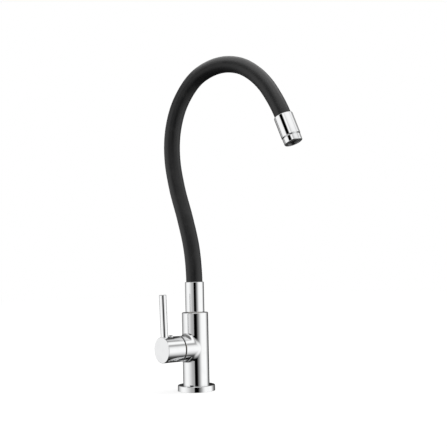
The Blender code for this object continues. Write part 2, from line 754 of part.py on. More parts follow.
def valve_spindle():
    """Spindle with notched driver, dog, ring and clip grooves, and toothed outer end."""
    groove_r = SPINDLE_R - SPINDLE_GROOVE
    ring_width = SPINDLE_RING_WIDTH + 2 * FIT
    clip_middle = CLIP + CLIP_THICKNESS / 2
    grooves = [(height, ring_width, groove_r) for height in spindle_ring_heights()]
    grooves.append((clip_middle, CLIP_THICKNESS + FIT, groove_r))
    core_r = SPLINE_R - 2 * SPLINE_DEPTH
    profile = [(0, INSERT_OUT), (core_r, INSERT_OUT), (core_r, INSERT_IN)]
    profile += grooved(SPINDLE_R, INSERT_IN, DRIVER + DRIVER_THICKNESS, grooves)
    profile += [(DRIVER_R, DRIVER + DRIVER_THICKNESS), (DRIVER_R, DRIVER), (0, DRIVER)]
    spindle = turned("valve_spindle", profile, FINE_STEPS)
    add_piece(spindle, brass, LEVER_PIVOT)
    outlines = [sector(SPINDLE_R + FIT, DRIVER_R + CUT, middle, PORT_ANGLE)
                for middle in (90.0, 270.0)]
    notches = plate("driver_notches", outlines, DRIVER - CUT, DRIVER + DRIVER_THICKNESS + CUT)
    shape_with(spindle, add_cutter(notches, LEVER_PIVOT), "DIFFERENCE")
    teeth = plate("spindle_teeth", [toothed(SPLINE_R, SPLINE_R - SPLINE_DEPTH, SPLINE_TEETH)],
                  INSERT_IN - SPLINE_DEPTH, INSERT_OUT - SPLINE_DEPTH)
    shape_with(spindle, add_cutter(teeth, LEVER_PIVOT), "UNION")
    dog_length = 2 * (DRIVER_R - DOG_WIDTH)
    dog = block("dog", (dog_length, DOG_WIDTH, 2 * DOG_DEPTH), (0, 0, DRIVER))
    shape_with(spindle, add_cutter(dog, LEVER_PIVOT), "UNION")


def spindle_ring_heights():
    """Places of the two seal rings on the spindle, inside the housing's neck."""
    first = HEAD_IN
    return first, first + SPINDLE_RING_PITCH


def spindle_rings():
    """Two seal rings, the thrust washer and the retaining clip of the spindle."""
    section = (SPINDLE_GROOVE - FIT) / 2
    seal_r = SPINDLE_R - SPINDLE_GROOVE + FIT + section
    for name, height in zip(("inner", "outer"), spindle_ring_heights()):
        seal = o_ring("spindle_o_ring_" + name, seal_r, section, height, FINE_STEPS)
        add_piece(seal, rubber, LEVER_PIVOT)
    washer = ring("spindle_thrust_washer", DRIVER_R, SPINDLE_R + FIT, THRUST,
                  THRUST + THRUST_THICKNESS, FINE_STEPS)
    add_piece(washer, pale_plastic, LEVER_PIVOT)
    clip = ring("spindle_circlip", CLIP_R, SPINDLE_R - SPINDLE_GROOVE + FIT, CLIP,
                CLIP + CLIP_THICKNESS, FINE_STEPS)
    add_piece(clip, steel, LEVER_PIVOT)
    mouth = block("clip_mouth", (2 * CLIP_R, CLIP_GAP, 2 * CUT), (CLIP_R, 0, CLIP))
    shape_with(clip, add_cutter(mouth, LEVER_PIVOT), "DIFFERENCE")


def handle_barrel():
    """Lever barrel: hollow skirt, seat of the toothed insert, pin hole and screw hole."""
    seat = INSERT_R + FIT
    barrel = turned("handle_barrel", [
        (0, FACE), (BARREL_R - BARREL_EDGE, FACE), (BARREL_R, FACE - BARREL_EDGE),
        (BARREL_R, BARREL_IN + BARREL_EDGE), (BARREL_R - BARREL_EDGE, BARREL_IN),
        (SKIRT_R, BARREL_IN), (SKIRT_R, INSERT_IN - FIT), (seat, INSERT_IN - FIT),
        (seat, INSERT_OUT + FIT), (0, INSERT_OUT + FIT)], WIDE_STEPS)
    add_piece(barrel, chrome, LEVER_PIVOT)
    over = BARREL_R + CUT
    pin_hole = rod("pin_hole", PIN_R + SLIDE_FIT, BARREL_R - PIN_SINK - FIT, over, WIDE_STEPS)
    shape_with(barrel, add_cutter(pin_hole, LEVER_PIVOT, (0, 0, PIN_PLACE), ALONG_X),
               "DIFFERENCE")
    seat_floor = BARREL_R - PLUG_STEM - FIT
    screw_hole = turned("grub_hole", [
        (0, over), (PLUG_STEM_R + SLIDE_FIT, over), (PLUG_STEM_R + SLIDE_FIT, seat_floor),
        (GRUB_R + SLIDE_FIT, seat_floor), (GRUB_R + SLIDE_FIT, 0), (0, 0)], FINE_STEPS)
    shape_with(barrel, add_cutter(screw_hole, LEVER_PIVOT, (0, 0, PLUG_PLACE), ALONG_X),
               "DIFFERENCE")


def pin_lever():
    """Straight round pin sunk into the barrel, flat on top with a small bevel."""
    foot = BARREL_R - PIN_SINK
    pin = turned("pin_lever", [
        (0, PIN_REACH), (PIN_R - PIN_EDGE, PIN_REACH), (PIN_R, PIN_REACH - PIN_EDGE),
        (PIN_R, foot + PIN_EDGE), (PIN_R - PIN_EDGE, foot), (0, foot)], WIDE_STEPS)
    add_piece(pin, chrome, LEVER_PIVOT, (0, 0, PIN_PLACE), ALONG_X)


def handle_screw_and_plug():
    """Grub screw that bears on the toothed insert, under a small domed plug."""
    place = (0, 0, PLUG_PLACE)
    grub_screw("handle_grub_screw", LEVER_PIVOT, INSERT_R + FIT, place, ALONG_X)
    dome_seat = BARREL_R + FIT
    stem_low = BARREL_R - PLUG_STEM
    profile = []
    for i in range(6):
        angle = math.pi / 2 * (1 - i / 5)
        profile.append((PLUG_R * math.cos(angle), dome_seat + PLUG_RISE * math.sin(angle)))
    profile[0] = (0, profile[0][1])
    profile += [(PLUG_STEM_R, dome_seat), (PLUG_STEM_R, stem_low), (0, stem_low)]
    plug = turned("grub_screw_plug", profile, FINE_STEPS)
    add_piece(plug, chrome, LEVER_PIVOT, place, ALONG_X)


def spline_insert():
    """Bush in the barrel whose toothed bore fits the spindle."""
    insert = rod("spline_insert", INSERT_R, INSERT_IN, INSERT_OUT, MID_STEPS)
    add_piece(insert, brass, LEVER_PIVOT)
    outline = toothed(SPLINE_R + FIT, SPLINE_R - SPLINE_DEPTH + FIT, SPLINE_TEETH)
    bore = plate("insert_teeth", [outline], INSERT_IN - CUT, INSERT_OUT + CUT)
    shape_with(insert, add_cutter(bore, LEVER_PIVOT), "DIFFERENCE")


def swivel_grooves():
    """Grooves of the spout stem: two bushes, two seal rings and the retaining screw."""
    bush_width = BUSH_WIDTH + 2 * SLIDE_FIT
    ring_width = SWIVEL_RING_WIDTH + 2 * FIT
    screw_width = 2 * (GRUB_R + FIT)
    table = ((UPPER_BUSH_DEPTH, bush_width), (RETAINER_DEPTH, screw_width),
             (UPPER_RING_DEPTH, ring_width), (LOWER_RING_DEPTH, ring_width),
             (LOWER_BUSH_DEPTH, bush_width))
    return [(BODY_HEIGHT - depth, width, STEM_GROOVE_R) for depth, width in table]


def spout_stem():
    """Turning stem: grooved shank in the body's socket, shoulder, and barbed nipple."""
    shoulder_top = STEM_SHOULDER_Z + STEM_SHOULDER
    tip = shoulder_top + NIPPLE_LENGTH
    profile = barbed(shoulder_top, NIPPLE_LENGTH, 1)
    profile += [(HOSE_R, shoulder_top), (HOSE_R, STEM_SHOULDER_Z)]
    profile += grooved(STEM_R, STEM_SHOULDER_Z, STEM_BOTTOM, swivel_grooves())
    profile += [(STEM_BORE_R, STEM_BOTTOM), (STEM_BORE_R, STEM_SHOULDER_Z),
                (NIPPLE_BORE_R, STEM_SHOULDER_Z + STEM_SHOULDER / 2), (NIPPLE_BORE_R, tip)]
    add_piece(turned("spout_stem", profile, MID_STEPS), brass, SPOUT_PIVOT)


def swivel_rings():
    """Bushes and seal rings that turn with the stem."""
    outer = SOCKET_R - SLIDE_FIT
    inner = STEM_GROOVE_R + FIT
    for name, depth in (("upper", UPPER_BUSH_DEPTH), ("lower", LOWER_BUSH_DEPTH)):
        middle = BODY_HEIGHT - depth
        bush = ring(name + "_swivel_bush", outer, inner, middle - BUSH_WIDTH / 2,
                    middle + BUSH_WIDTH / 2, MID_STEPS)
        add_piece(bush, pale_plastic, SPOUT_PIVOT)
    section = SWIVEL_RING_WIDTH / 2
    for name, depth in (("upper", UPPER_RING_DEPTH), ("lower", LOWER_RING_DEPTH)):
        seal = o_ring(name + "_swivel_o_ring", inner + section, section, BODY_HEIGHT - depth,
                      MID_STEPS)
        add_piece(seal, rubber, SPOUT_PIVOT)


def spout_collar():
    """Chromed collar round the hose's foot, seated on the stem's shoulder."""
    floor_top = COLLAR_BOTTOM + COLLAR_FLOOR
    bore = HOSE_R + FIT
    collar = turned("spout_collar", [
        (COLLAR_R - COLLAR_EDGE, COLLAR_TOP), (COLLAR_R, COLLAR_TOP - COLLAR_EDGE),
        (COLLAR_R, COLLAR_BOTTOM + COLLAR_EDGE), (COLLAR_R - COLLAR_EDGE, COLLAR_BOTTOM),
        (SOCKET_R, COLLAR_BOTTOM), (SOCKET_R, floor_top), (bore, floor_top),
        (bore, COLLAR_TOP)], WIDE_STEPS)
    add_piece(collar, chrome, SPOUT_PIVOT)


def hose_skin():
    """Smooth black outer hose with its bore."""
    points = hose_points(HOSE_STATIONS)
    skin = tube("hose_skin", points, [HOSE_R] * HOSE_STATIONS, 4)
    add_piece(skin, silicone, SPOUT_PIVOT)
    cut_bore(skin, points, HOSE_R - SKIN_WALL)


def cut_bore(outer, points, radius):
    """Cut a tube along a route out of a hose, run past both its ends."""
    longer = list(points)
    longer[0] = points[0] + (points[0] - points[1]).normalized() * CUT
    longer[-1] = points[-1] + (points[-1] - points[-2]).normalized() * CUT
    bore = tube(outer.name + "_bore", longer, [radius] * len(longer), 2)
    shape_with(outer, add_cutter(bore, SPOUT_PIVOT), "DIFFERENCE")


def gooseneck_core():
    """Ribbed steel gooseneck that keeps the hose in the shape it is bent to."""
    count = 2 * RIBS + 1
    points = hose_points(count)
    radii = [CORE_R - CORE_RIB * (i % 2) for i in range(count)]
    core = tube("gooseneck_core", points, radii, 2)
    add_piece(core, steel, SPOUT_PIVOT)
    cut_bore(core, hose_points(HOSE_STATIONS), CORE_BORE_R)


def water_tube():
    """Inner tube that carries the water from the stem to the nozzle."""
    points = hose_points(HOSE_STATIONS)
    inner = tube("water_tube", points, [TUBE_R] * HOSE_STATIONS, 2)
    add_piece(inner, pale_plastic, SPOUT_PIVOT)
    cut_bore(inner, points, TUBE_BORE_R)


def nozzle_sleeve():
    """Chromed sleeve over the hose's end, stepped inside for the adapter and aerator."""
    sleeve = turned("nozzle_sleeve", [
        (SLEEVE_R - SLEEVE_EDGE, SLEEVE_LENGTH), (SLEEVE_R, SLEEVE_LENGTH - SLEEVE_EDGE),
        (SLEEVE_R, SLEEVE_EDGE), (SLEEVE_R - SLEEVE_EDGE, 0), (HOSE_R + FIT, 0),
        (HOSE_R + FIT, SLEEVE_SEAT), (AERATOR_NECK_R + FIT, SLEEVE_SEAT),
        (AERATOR_NECK_R + FIT, SLEEVE_LENGTH)], WIDE_STEPS)
    add_piece(sleeve, chrome, NOZZLE_FRAME)


def nozzle_adapter():
    """Brass end fitting of the hose, with its nipple pointing back into the water tube."""
    base = HOSE_SEAT + FIT
    end = base + ADAPTER_LENGTH
    tip = base - NIPPLE_LENGTH
    mouth = AERATOR_NECK_R - WASHER_WIDTH
    profile = [(HOSE_R, end), (HOSE_R, base)]
    profile += list(reversed(barbed(base, NIPPLE_LENGTH, -1)))
    profile += [(NIPPLE_BORE_R, tip), (NIPPLE_BORE_R, base + ADAPTER_LENGTH / 3),
                (mouth, base + ADAPTER_LENGTH * 2 / 3), (mouth, end)]
    add_piece(turned("nozzle_adapter", profile, MID_STEPS), brass, NOZZLE_FRAME)


def aerator_housing():
    """Screw-in outlet ring with a slight taper, a round end lip and an inner ledge."""
    end_r = AERATOR_R - AERATOR_TAPER
    profile = [(end_r - AERATOR_LIP + AERATOR_LIP * math.cos(angle),
                AERATOR_END - AERATOR_LIP + AERATOR_LIP * math.sin(angle))
               for angle in (math.pi / 2, math.pi / 3, math.pi / 6, 0)]
    ledge = AERATOR_END - LIP_DEPTH
    profile += [(AERATOR_R, AERATOR_RING + SLEEVE_EDGE),
                (AERATOR_R - SLEEVE_EDGE, AERATOR_RING), (AERATOR_NECK_R, AERATOR_RING),
                (AERATOR_NECK_R, AERATOR_IN), (AERATOR_BORE_R, AERATOR_IN),
                (AERATOR_BORE_R, ledge), (AERATOR_BORE_R - LIP_WIDTH, ledge),
                (AERATOR_BORE_R - LIP_WIDTH, AERATOR_END)]
    add_piece(turned("aerator_housing", profile, WIDE_STEPS), chrome, NOZZLE_FRAME)


def aerator_washer():
    """Flat washer between the adapter's end and the aerator."""
    washer = ring("aerator_washer", AERATOR_NECK_R, AERATOR_NECK_R - WASHER_WIDTH, WASHER_IN,
                  WASHER_IN + WASHER_THICKNESS, MID_STEPS)
    add_piece(washer, rubber, NOZZLE_FRAME)


def drilled(piece, radius, spots, low, high):
    """Drill a group of like six-sided holes through a nozzle piece."""
    corners = on_circle(radius, HOLE_STEPS)
    outlines = [[(x + u, y + v) for u, v in corners] for x, y in spots]
    holes = plate(piece.name + "_holes", outlines, low - CUT, high + CUT)
    shape_with(piece, add_cutter(holes, NOZZLE_FRAME), "DIFFERENCE")


def on_circle(radius, count):
    """Evenly spaced places on a circle."""
    angles = [2 * math.pi * i / count for i in range(count)]
    return [(radius * math.cos(angle), radius * math.sin(angle)) for angle in angles]


def aerator_cartridge():
    """Jet cup, screen and outlet grille inside the aerator housing."""
    cup_top = GRILLE_IN - FIT
    roof = AERATOR_IN + INSERT_ROOF
    inner = CARTRIDGE_R - INSERT_WALL
    cup = turned("aerator_insert", [
        (0, roof), (inner, roof), (inner, cup_top), (CARTRIDGE_R, cup_top),
        (CARTRIDGE_R, AERATOR_IN), (0, AERATOR_IN)], FINE_STEPS)
    add_piece(cup, pale_plastic, NOZZLE_FRAME)
    drilled(cup, JET_R, on_circle(inner * 2 / 3, JETS), AERATOR_IN, roof)
    screen_r = inner - FIT
    screen_low = roof + FIT
    screen_high = screen_low + SCREEN_THICKNESS
    screen = rod("aerator_screen", screen_r, screen_low, screen_high, FINE_STEPS)
    add_piece(screen, steel, NOZZLE_FRAME)
    drilled(screen, SCREEN_HOLE_R, on_circle(screen_r * 2 / 3, SCREEN_HOLES), screen_low,
            screen_high)
    grille_out = GRILLE_IN + GRILLE_THICKNESS
    grille = rod("aerator_grille", CARTRIDGE_R, GRILLE_IN, grille_out, MID_STEPS)
    add_piece(grille, black_plastic, NOZZLE_FRAME)
    drilled(grille, GRILLE_HOLE_R, honeycomb(), GRILLE_IN, grille_out)


def honeycomb():
    """Places of the grille's cells, in rows half a pitch apart, that clear its rim."""
    limit = AERATOR_BORE_R - LIP_WIDTH - GRILLE_RIM - GRILLE_HOLE_R
    row_step = GRILLE_PITCH * math.sqrt(3) / 2
    rows = int(limit / row_step)
    spots = []
    for row in range(-rows, rows + 1):
        shift = GRILLE_PITCH / 2 * (row % 2)
        columns = int(limit / GRILLE_PITCH) + 1
        for column in range(-columns, columns + 1):
            x = column * GRILLE_PITCH + shift
            y = row * row_step
            if math.hypot(x, y) <= limit:
                spots.append((x, y))
    return spots


def shade_pieces():
    """Smooth shading with sharp edges kept."""
    for obj in PIECES.objects:
        if obj.type == "MESH" and obj.data.polygons:
            obj.data.shade_smooth()
            obj.data.set_sharp_from_angle(angle=math.radians(35))


faucet_body()
base_flange()
base_seals()
inlet_strainer()
slip_ring()
spout_retaining_screw()
headwork_housing()
headwork_seals()
ceramic_discs()
valve_spindle()
spindle_rings()
handle_barrel()
pin_lever()
handle_screw_and_plug()
spline_insert()
spout_stem()
swivel_rings()
spout_collar()
hose_skin()
gooseneck_core()
water_tube()
nozzle_sleeve()
nozzle_adapter()
aerator_housing()
aerator_washer()
aerator_cartridge()
shade_pieces()
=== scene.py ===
"""Kitchen faucet: chromed body, side pin lever and black hose spout, in a pale studio."""

import math

import bpy
import numpy as np
from mathutils import Matrix, Vector
from mathutils.geometry import tessellate_polygon


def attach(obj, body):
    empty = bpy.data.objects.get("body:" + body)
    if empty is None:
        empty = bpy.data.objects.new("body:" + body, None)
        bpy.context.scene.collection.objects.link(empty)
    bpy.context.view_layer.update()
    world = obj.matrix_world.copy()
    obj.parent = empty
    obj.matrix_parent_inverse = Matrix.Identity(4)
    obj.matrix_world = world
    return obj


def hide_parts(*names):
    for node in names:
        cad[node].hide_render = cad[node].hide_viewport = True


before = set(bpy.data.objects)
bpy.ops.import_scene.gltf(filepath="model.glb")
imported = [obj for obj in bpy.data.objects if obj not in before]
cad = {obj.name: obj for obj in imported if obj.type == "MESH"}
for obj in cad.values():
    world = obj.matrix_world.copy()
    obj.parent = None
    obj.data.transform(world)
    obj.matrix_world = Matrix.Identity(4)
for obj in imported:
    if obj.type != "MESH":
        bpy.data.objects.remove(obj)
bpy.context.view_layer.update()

# ----------------------------------------
# Deck gasket and flange ring. Both are moulded black rubber: the flat gasket is pressed
# into the flange's underside, and the ring seals the flange to the upright body.

RUBBER_DARK = (0.014, 0.014, 0.015)
RUBBER_DUSTY = (0.036, 0.035, 0.034)
RUBBER_GRAIN = 1400.0
BLOOM_PER_METRE = 45.0
MOULD_GRAIN_DEPTH = 0.00003


def effect(name, inputs, outputs):
    """Empty shader group with named sockets, its input and its output node."""
    tree = bpy.data.node_groups.new(name, "ShaderNodeTree")
    for label, kind in inputs:
        tree.interface.new_socket(label, in_out="INPUT", socket_type=kind)
    for label in outputs:
        tree.interface.new_socket(label, in_out="OUTPUT", socket_type="NodeSocketFloat")
    return tree, tree.nodes.new("NodeGroupInput"), tree.nodes.new("NodeGroupOutput")


def scaled(tree, vector, factor):
    """Vector output multiplied by a number or by a value output."""
    node = tree.nodes.new("ShaderNodeVectorMath")
    node.operation = "SCALE"
    tree.links.new(vector, node.inputs[0])
    if isinstance(factor, float):
        node.inputs["Scale"].default_value = factor
    else:
        tree.links.new(factor, node.inputs["Scale"])
    return node.outputs[0]


def cloudy(tree, vector, detail, warp=0.0):
    """Noise value over a vector output."""
    node = tree.nodes.new("ShaderNodeTexNoise")
    node.inputs["Scale"].default_value = 1.0
    node.inputs["Detail"].default_value = detail
    node.inputs["Distortion"].default_value = warp
    tree.links.new(vector, node.inputs["Vector"])
    return node.outputs["Fac"]


def between(tree, value, low, high, to_low=0.0, to_high=1.0):
    """Value spread from one range to another, softly at both ends."""
    node = tree.nodes.new("ShaderNodeMapRange")
    node.interpolation_type = "SMOOTHSTEP"
    for label, number in (("From Min", low), ("From Max", high), ("To Min", to_low),
                          ("To Max", to_high)):
        node.inputs[label].default_value = number
    tree.links.new(value, node.inputs["Value"])
    return node.outputs["Result"]


def moulded_skin():
    """Grain of a mould's wall, and the dull bloom that settles on rubber and plastic."""
    tree, given, made = effect("moulded skin", (("Place", "NodeSocketVector"),
                                                ("Grain per metre", "NodeSocketFloat"),
                                                ("Bloom per metre", "NodeSocketFloat")),
                               ("Grain", "Bloom"))
    place = given.outputs["Place"]
    grain = cloudy(tree, scaled(tree, place, given.outputs["Grain per metre"]), 3.0)
    bloom = cloudy(tree, scaled(tree, place, given.outputs["Bloom per metre"]), 5.0, 0.4)
    tree.links.new(grain, made.inputs["Grain"])
    tree.links.new(between(tree, bloom, 0.38, 0.72), made.inputs["Bloom"])
    return tree


MOULDED = moulded_skin()


def bare_material(name):
    """New material, its tree, its shader and the place on the piece that is shaded."""
    material = bpy.data.materials.new(name)
    material.use_nodes = True
    tree = material.node_tree
    place = tree.nodes.new("ShaderNodeTexCoord").outputs["Object"]
    return material, tree, tree.nodes["Principled BSDF"], place


def place_effect(tree, group, place, **values):
    """Node of a shader group with its place linked and its values set."""
    node = tree.nodes.new("ShaderNodeGroup")
    node.node_tree = group
    tree.links.new(place, node.inputs["Place"])
    for label, value in values.items():
        node.inputs[label.replace("_", " ")].default_value = value
    return node


def two_tone(tree, shader, mask, first, second):
    """Base colour that runs from one colour to another over a mask."""
    mix = tree.nodes.new("ShaderNodeMix")
    mix.data_type = "RGBA"
    mix.inputs[6].default_value = (*first, 1.0)
    mix.inputs[7].default_value = (*second, 1.0)
    tree.links.new(mask, mix.inputs[0])
    tree.links.new(mix.outputs[2], shader.inputs["Base Color"])


def raised(tree, shader, height, strength, depth):
    """Bump from a height, as deep as its real marks."""
    bump = tree.nodes.new("ShaderNodeBump")
    bump.inputs["Strength"].default_value = strength
    bump.inputs["Distance"].default_value = depth
    tree.links.new(height, bump.inputs["Height"])
    tree.links.new(bump.outputs["Normal"], shader.inputs["Normal"])


def moulded(name, clean, dusty, grain, rough, dull):
    """Moulded rubber, silicone or plastic with its grain and bloom."""
    material, tree, shader, place = bare_material(name)
    skin = place_effect(tree, MOULDED, place, Grain_per_metre=grain,
                        Bloom_per_metre=BLOOM_PER_METRE)
    two_tone(tree, shader, skin.outputs["Bloom"], clean, dusty)
    roughness = between(tree, skin.outputs["Bloom"], 0.0, 1.0, rough, dull)
    tree.links.new(roughness, shader.inputs["Roughness"])
    raised(tree, shader, skin.outputs["Grain"], 0.5, MOULD_GRAIN_DEPTH)
    return material


RUBBER = moulded("black rubber", RUBBER_DARK, RUBBER_DUSTY, RUBBER_GRAIN, 0.52, 0.74)


def dress(material, *names):
    """Give CAD nodes their finish."""
    for name in names:
        cad[name].data.materials.clear()
        cad[name].data.materials.append(material)


dress(RUBBER, "base_gasket", "flange_o_ring")

# ----------------------------------------
# Base flange. A brass ring turned on the lathe, polished and chromed. It sits on the deck
# round the body's foot, with a soft upper edge, a gasket groove below and a ring groove.

BODY_R = 0.0179
FIT = 0.0003
FLANGE_R = 0.02535
FLANGE_TOP = 0.0080
FLANGE_SOFT = 0.0012
GASKET_IN, GASKET_OUT, GASKET_TOP = 0.0195, 0.0235, 0.0022
RING_GROOVE_R, RING_GROOVE_LOW, RING_GROOVE_HIGH = 0.0194, 0.0036, 0.0054
EDGE_BREAK = 0.0002
ROUND_STEPS = 144
CORNER_STEPS = 6
TOUCH = 1e-7
CHROME_BRIGHT = (0.970, 0.975, 0.980)
CHROME_DEEP = (0.940, 0.945, 0.952)
CHROME_ROUGH, CHROME_DULL = 0.035, 0.075
CHROME_RINGS, CHROME_RING_DEPTH = 900.0, 0.000001
SMEARS_PER_METRE = 70.0


def turning_marks():
    """Rings left by lathe and polishing wheel about an axis, and faint wiping smears."""
    tree, given, made = effect("turning marks", (("Place", "NodeSocketVector"),
                                                 ("Centre", "NodeSocketVector"),
                                                 ("Axis", "NodeSocketVector"),
                                                 ("Rings per metre", "NodeSocketFloat"),
                                                 ("Smears per metre", "NodeSocketFloat")),
                               ("Rings", "Smears"))

    def vector_math(operation, first, second):
        node = tree.nodes.new("ShaderNodeVectorMath")
        node.operation = operation
        tree.links.new(first, node.inputs[0])
        tree.links.new(second, node.inputs[1])
        return node

    arm = vector_math("SUBTRACT", given.outputs["Place"], given.outputs["Centre"]).outputs[0]
    along = vector_math("DOT_PRODUCT", arm, given.outputs["Axis"]).outputs["Value"]
    upright = scaled(tree, given.outputs["Axis"], along)
    out = tree.nodes.new("ShaderNodeVectorMath")
    out.operation = "LENGTH"
    tree.links.new(vector_math("SUBTRACT", arm, upright).outputs[0], out.inputs[0])
    pair = tree.nodes.new("ShaderNodeCombineXYZ")
    tree.links.new(along, pair.inputs["X"])
    tree.links.new(out.outputs["Value"], pair.inputs["Y"])
    rings = cloudy(tree, scaled(tree, pair.outputs[0], given.outputs["Rings per metre"]), 2.0)
    smears = cloudy(tree, scaled(tree, given.outputs["Place"],
                                 given.outputs["Smears per metre"]), 5.0, 0.8)
    tree.links.new(rings, made.inputs["Rings"])
    tree.links.new(between(tree, smears, 0.46, 0.74), made.inputs["Smears"])
    return tree


TURNING = turning_marks()


def worked_metal(name, centre, axis, bright, deep, rough, dull, rings, depth):
    """Metal turned about an axis, from bright to deeper tone where it has been wiped."""
    material, tree, shader, place = bare_material(name)
    marks = place_effect(tree, TURNING, place, Centre=centre, Axis=axis,
                         Rings_per_metre=rings, Smears_per_metre=SMEARS_PER_METRE)
    two_tone(tree, shader, marks.outputs["Smears"], bright, deep)
    roughness = between(tree, marks.outputs["Smears"], 0.0, 1.0, rough, dull)
    tree.links.new(roughness, shader.inputs["Roughness"])
    raised(tree, shader, marks.outputs["Rings"], 0.3, depth)
    shader.inputs["Metallic"].default_value = 1.0
    return material


def chromed(name, centre, axis):
    """Polished brass under bright chrome."""
    return worked_metal(name, centre, axis, CHROME_BRIGHT, CHROME_DEEP, CHROME_ROUGH,
                        CHROME_DULL, CHROME_RINGS, CHROME_RING_DEPTH)


def rounded(corners, closed=False):
    """Outline of (radius, height, rounding) corners with its outward directions.

    It runs with the metal on its left. Returns radii, heights and both parts of the
    directions; a corner without rounding stays sharp.
    """
    rows = []
    count = len(corners)
    for i, (radius, height, fillet) in enumerate(corners):
        here = np.array((radius, height))
        sides = []
        if closed or i > 0:
            sides.append(here - np.array(corners[i - 1][:2]))
        if closed or i < count - 1:
            sides.append(np.array(corners[(i + 1) % count][:2]) - here)
        outs = []
        for side in sides:
            step = side / np.linalg.norm(side)
            outs.append(np.array((step[1], -step[0])))
        if len(outs) == 1 or fillet == 0:
            rows += [(*here, *out) for out in outs]
            continue
        first, second = outs
        bulge = math.copysign(1.0, first[0] * second[1] - first[1] * second[0])
        middle = here - bulge * fillet * (first + second) / (1 + first @ second)
        spread = math.acos(max(-1.0, min(1.0, first @ second)))
        for k in range(CORNER_STEPS + 1):
            share = k / CORNER_STEPS
            out = (math.sin((1 - share) * spread) * first
                   + math.sin(share * spread) * second) / math.sin(spread)
            rows.append((*(middle + bulge * fillet * out), *out))
    if closed:
        rows.append(rows[0])
    return np.array(rows)


def standing(origin, across, beside, along):
    """Axis that a round piece is turned on: origin, two directions across it, and its own."""
    return [np.array(part, float) for part in (origin, across, beside, along)]


def grid(points, outs):
    """Sheet of quads from rows of points and their outward directions."""
    rows, columns = points.shape[:2]
    number = np.arange(rows * columns).reshape(rows, columns)
    quads = np.stack([number[:-1, :-1], number[:-1, 1:], number[1:, 1:], number[1:, :-1]], -1)
    return points.reshape(-1, 3), outs.reshape(-1, 3), quads.reshape(-1, 4)


def strip(first, second, out):
    """Sheet between two rows of points, with their outward direction."""
    return grid(np.stack([first, second]), np.broadcast_to(out, (2, *first.shape)))


def turned(outline, axis, turns=None):
    """Sheet of an outline turned about an axis."""
    origin, across, beside, along = axis
    if turns is None:
        turns = np.linspace(0, 2 * math.pi, ROUND_STEPS + 1)
    radius, height, out_r, out_h = (outline[:, k, None, None] for k in range(4))
    spoke = np.cos(turns)[None, :, None] * across + np.sin(turns)[None, :, None] * beside
    return grid(origin + radius * spoke + height * along, out_r * spoke + out_h * along)


def welded(name, sheets):
    """Closed mesh from sheets: shared edges are joined, and each sheet keeps its own sheen."""
    points = np.vstack([sheet[0] for sheet in sheets])
    outs = np.vstack([sheet[1] for sheet in sheets])
    outs = outs / np.linalg.norm(outs, axis=1, keepdims=True)
    starts = np.cumsum([0] + [len(sheet[0]) for sheet in sheets])
    _, first, joined = np.unique(np.round(points / TOUCH).astype(np.int64), axis=0,
                                 return_index=True, return_inverse=True)
    joined = joined.reshape(-1)
    faces, corner_outs = [], []
    for start, (_, _, cells) in zip(starts, sheets):
        cells = np.asarray(cells) + start
        far = cells.shape[1] // 2
        flat = np.cross(points[cells[:, far]] - points[cells[:, 0]],
                        points[cells[:, -1]] - points[cells[:, 1]])
        turn_over = (flat * outs[cells].sum(axis=1)).sum(axis=1) < 0
        cells[turn_over] = cells[turn_over][:, ::-1]
        for cell in cells:
            kept = [k for i, k in enumerate(cell) if joined[k] != joined[cell[i - 1]]]
            if len(kept) > 2:
                faces.append([joined[k] for k in kept])
                corner_outs += [outs[k] for k in kept]
    mesh = bpy.data.meshes.new(name)
    mesh.from_pydata(points[first].tolist(), [], faces)
    mesh.polygons.foreach_set("use_smooth", [True] * len(faces))
    mesh.normals_split_custom_set([tuple(out) for out in corner_outs])
    mesh.update()
    obj = bpy.data.objects.new(name, mesh)
    bpy.context.scene.collection.objects.link(obj)
    return obj


def fit_out(obj, material, body, slot, *nodes):
    """Give a finished piece its material and its body, and hide the CAD nodes it replaces. The
    slot is not used.
    """
    obj.data.materials.append(material)
    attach(obj, body)
    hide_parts(*nodes)


UPRIGHT = standing((0, 0, 0), (-1, 0, 0), (0, 1, 0), (0, 0, 1))
CHROME_UPRIGHT = chromed("chrome, upright pieces", (0, 0, 0), (0, 0, 1))

flange_bore = BODY_R + FIT
flange = welded("foot_flange", [turned(rounded([
    (flange_bore, 0, 0), (GASKET_IN, 0, 0), (GASKET_IN, GASKET_TOP, 0),
    (GASKET_OUT, GASKET_TOP, 0), (GASKET_OUT, 0, 0), (FLANGE_R, 0, EDGE_BREAK),
    (FLANGE_R, FLANGE_TOP, FLANGE_SOFT), (flange_bore, FLANGE_TOP, EDGE_BREAK),
    (flange_bore, RING_GROOVE_HIGH, 0), (RING_GROOVE_R, RING_GROOVE_HIGH, 0),
    (RING_GROOVE_R, RING_GROOVE_LOW, 0), (flange_bore, RING_GROOVE_LOW, 0)], closed=True),
    UPRIGHT)])
fit_out(flange, CHROME_UPRIGHT, "body", "chrome", "base_flange")

# ----------------------------------------
# Body. One brass casting with its side boss, bored, turned and drilled, then polished and
# chromed: spout socket above, valve bore in the boss, screw hole behind, ports below.

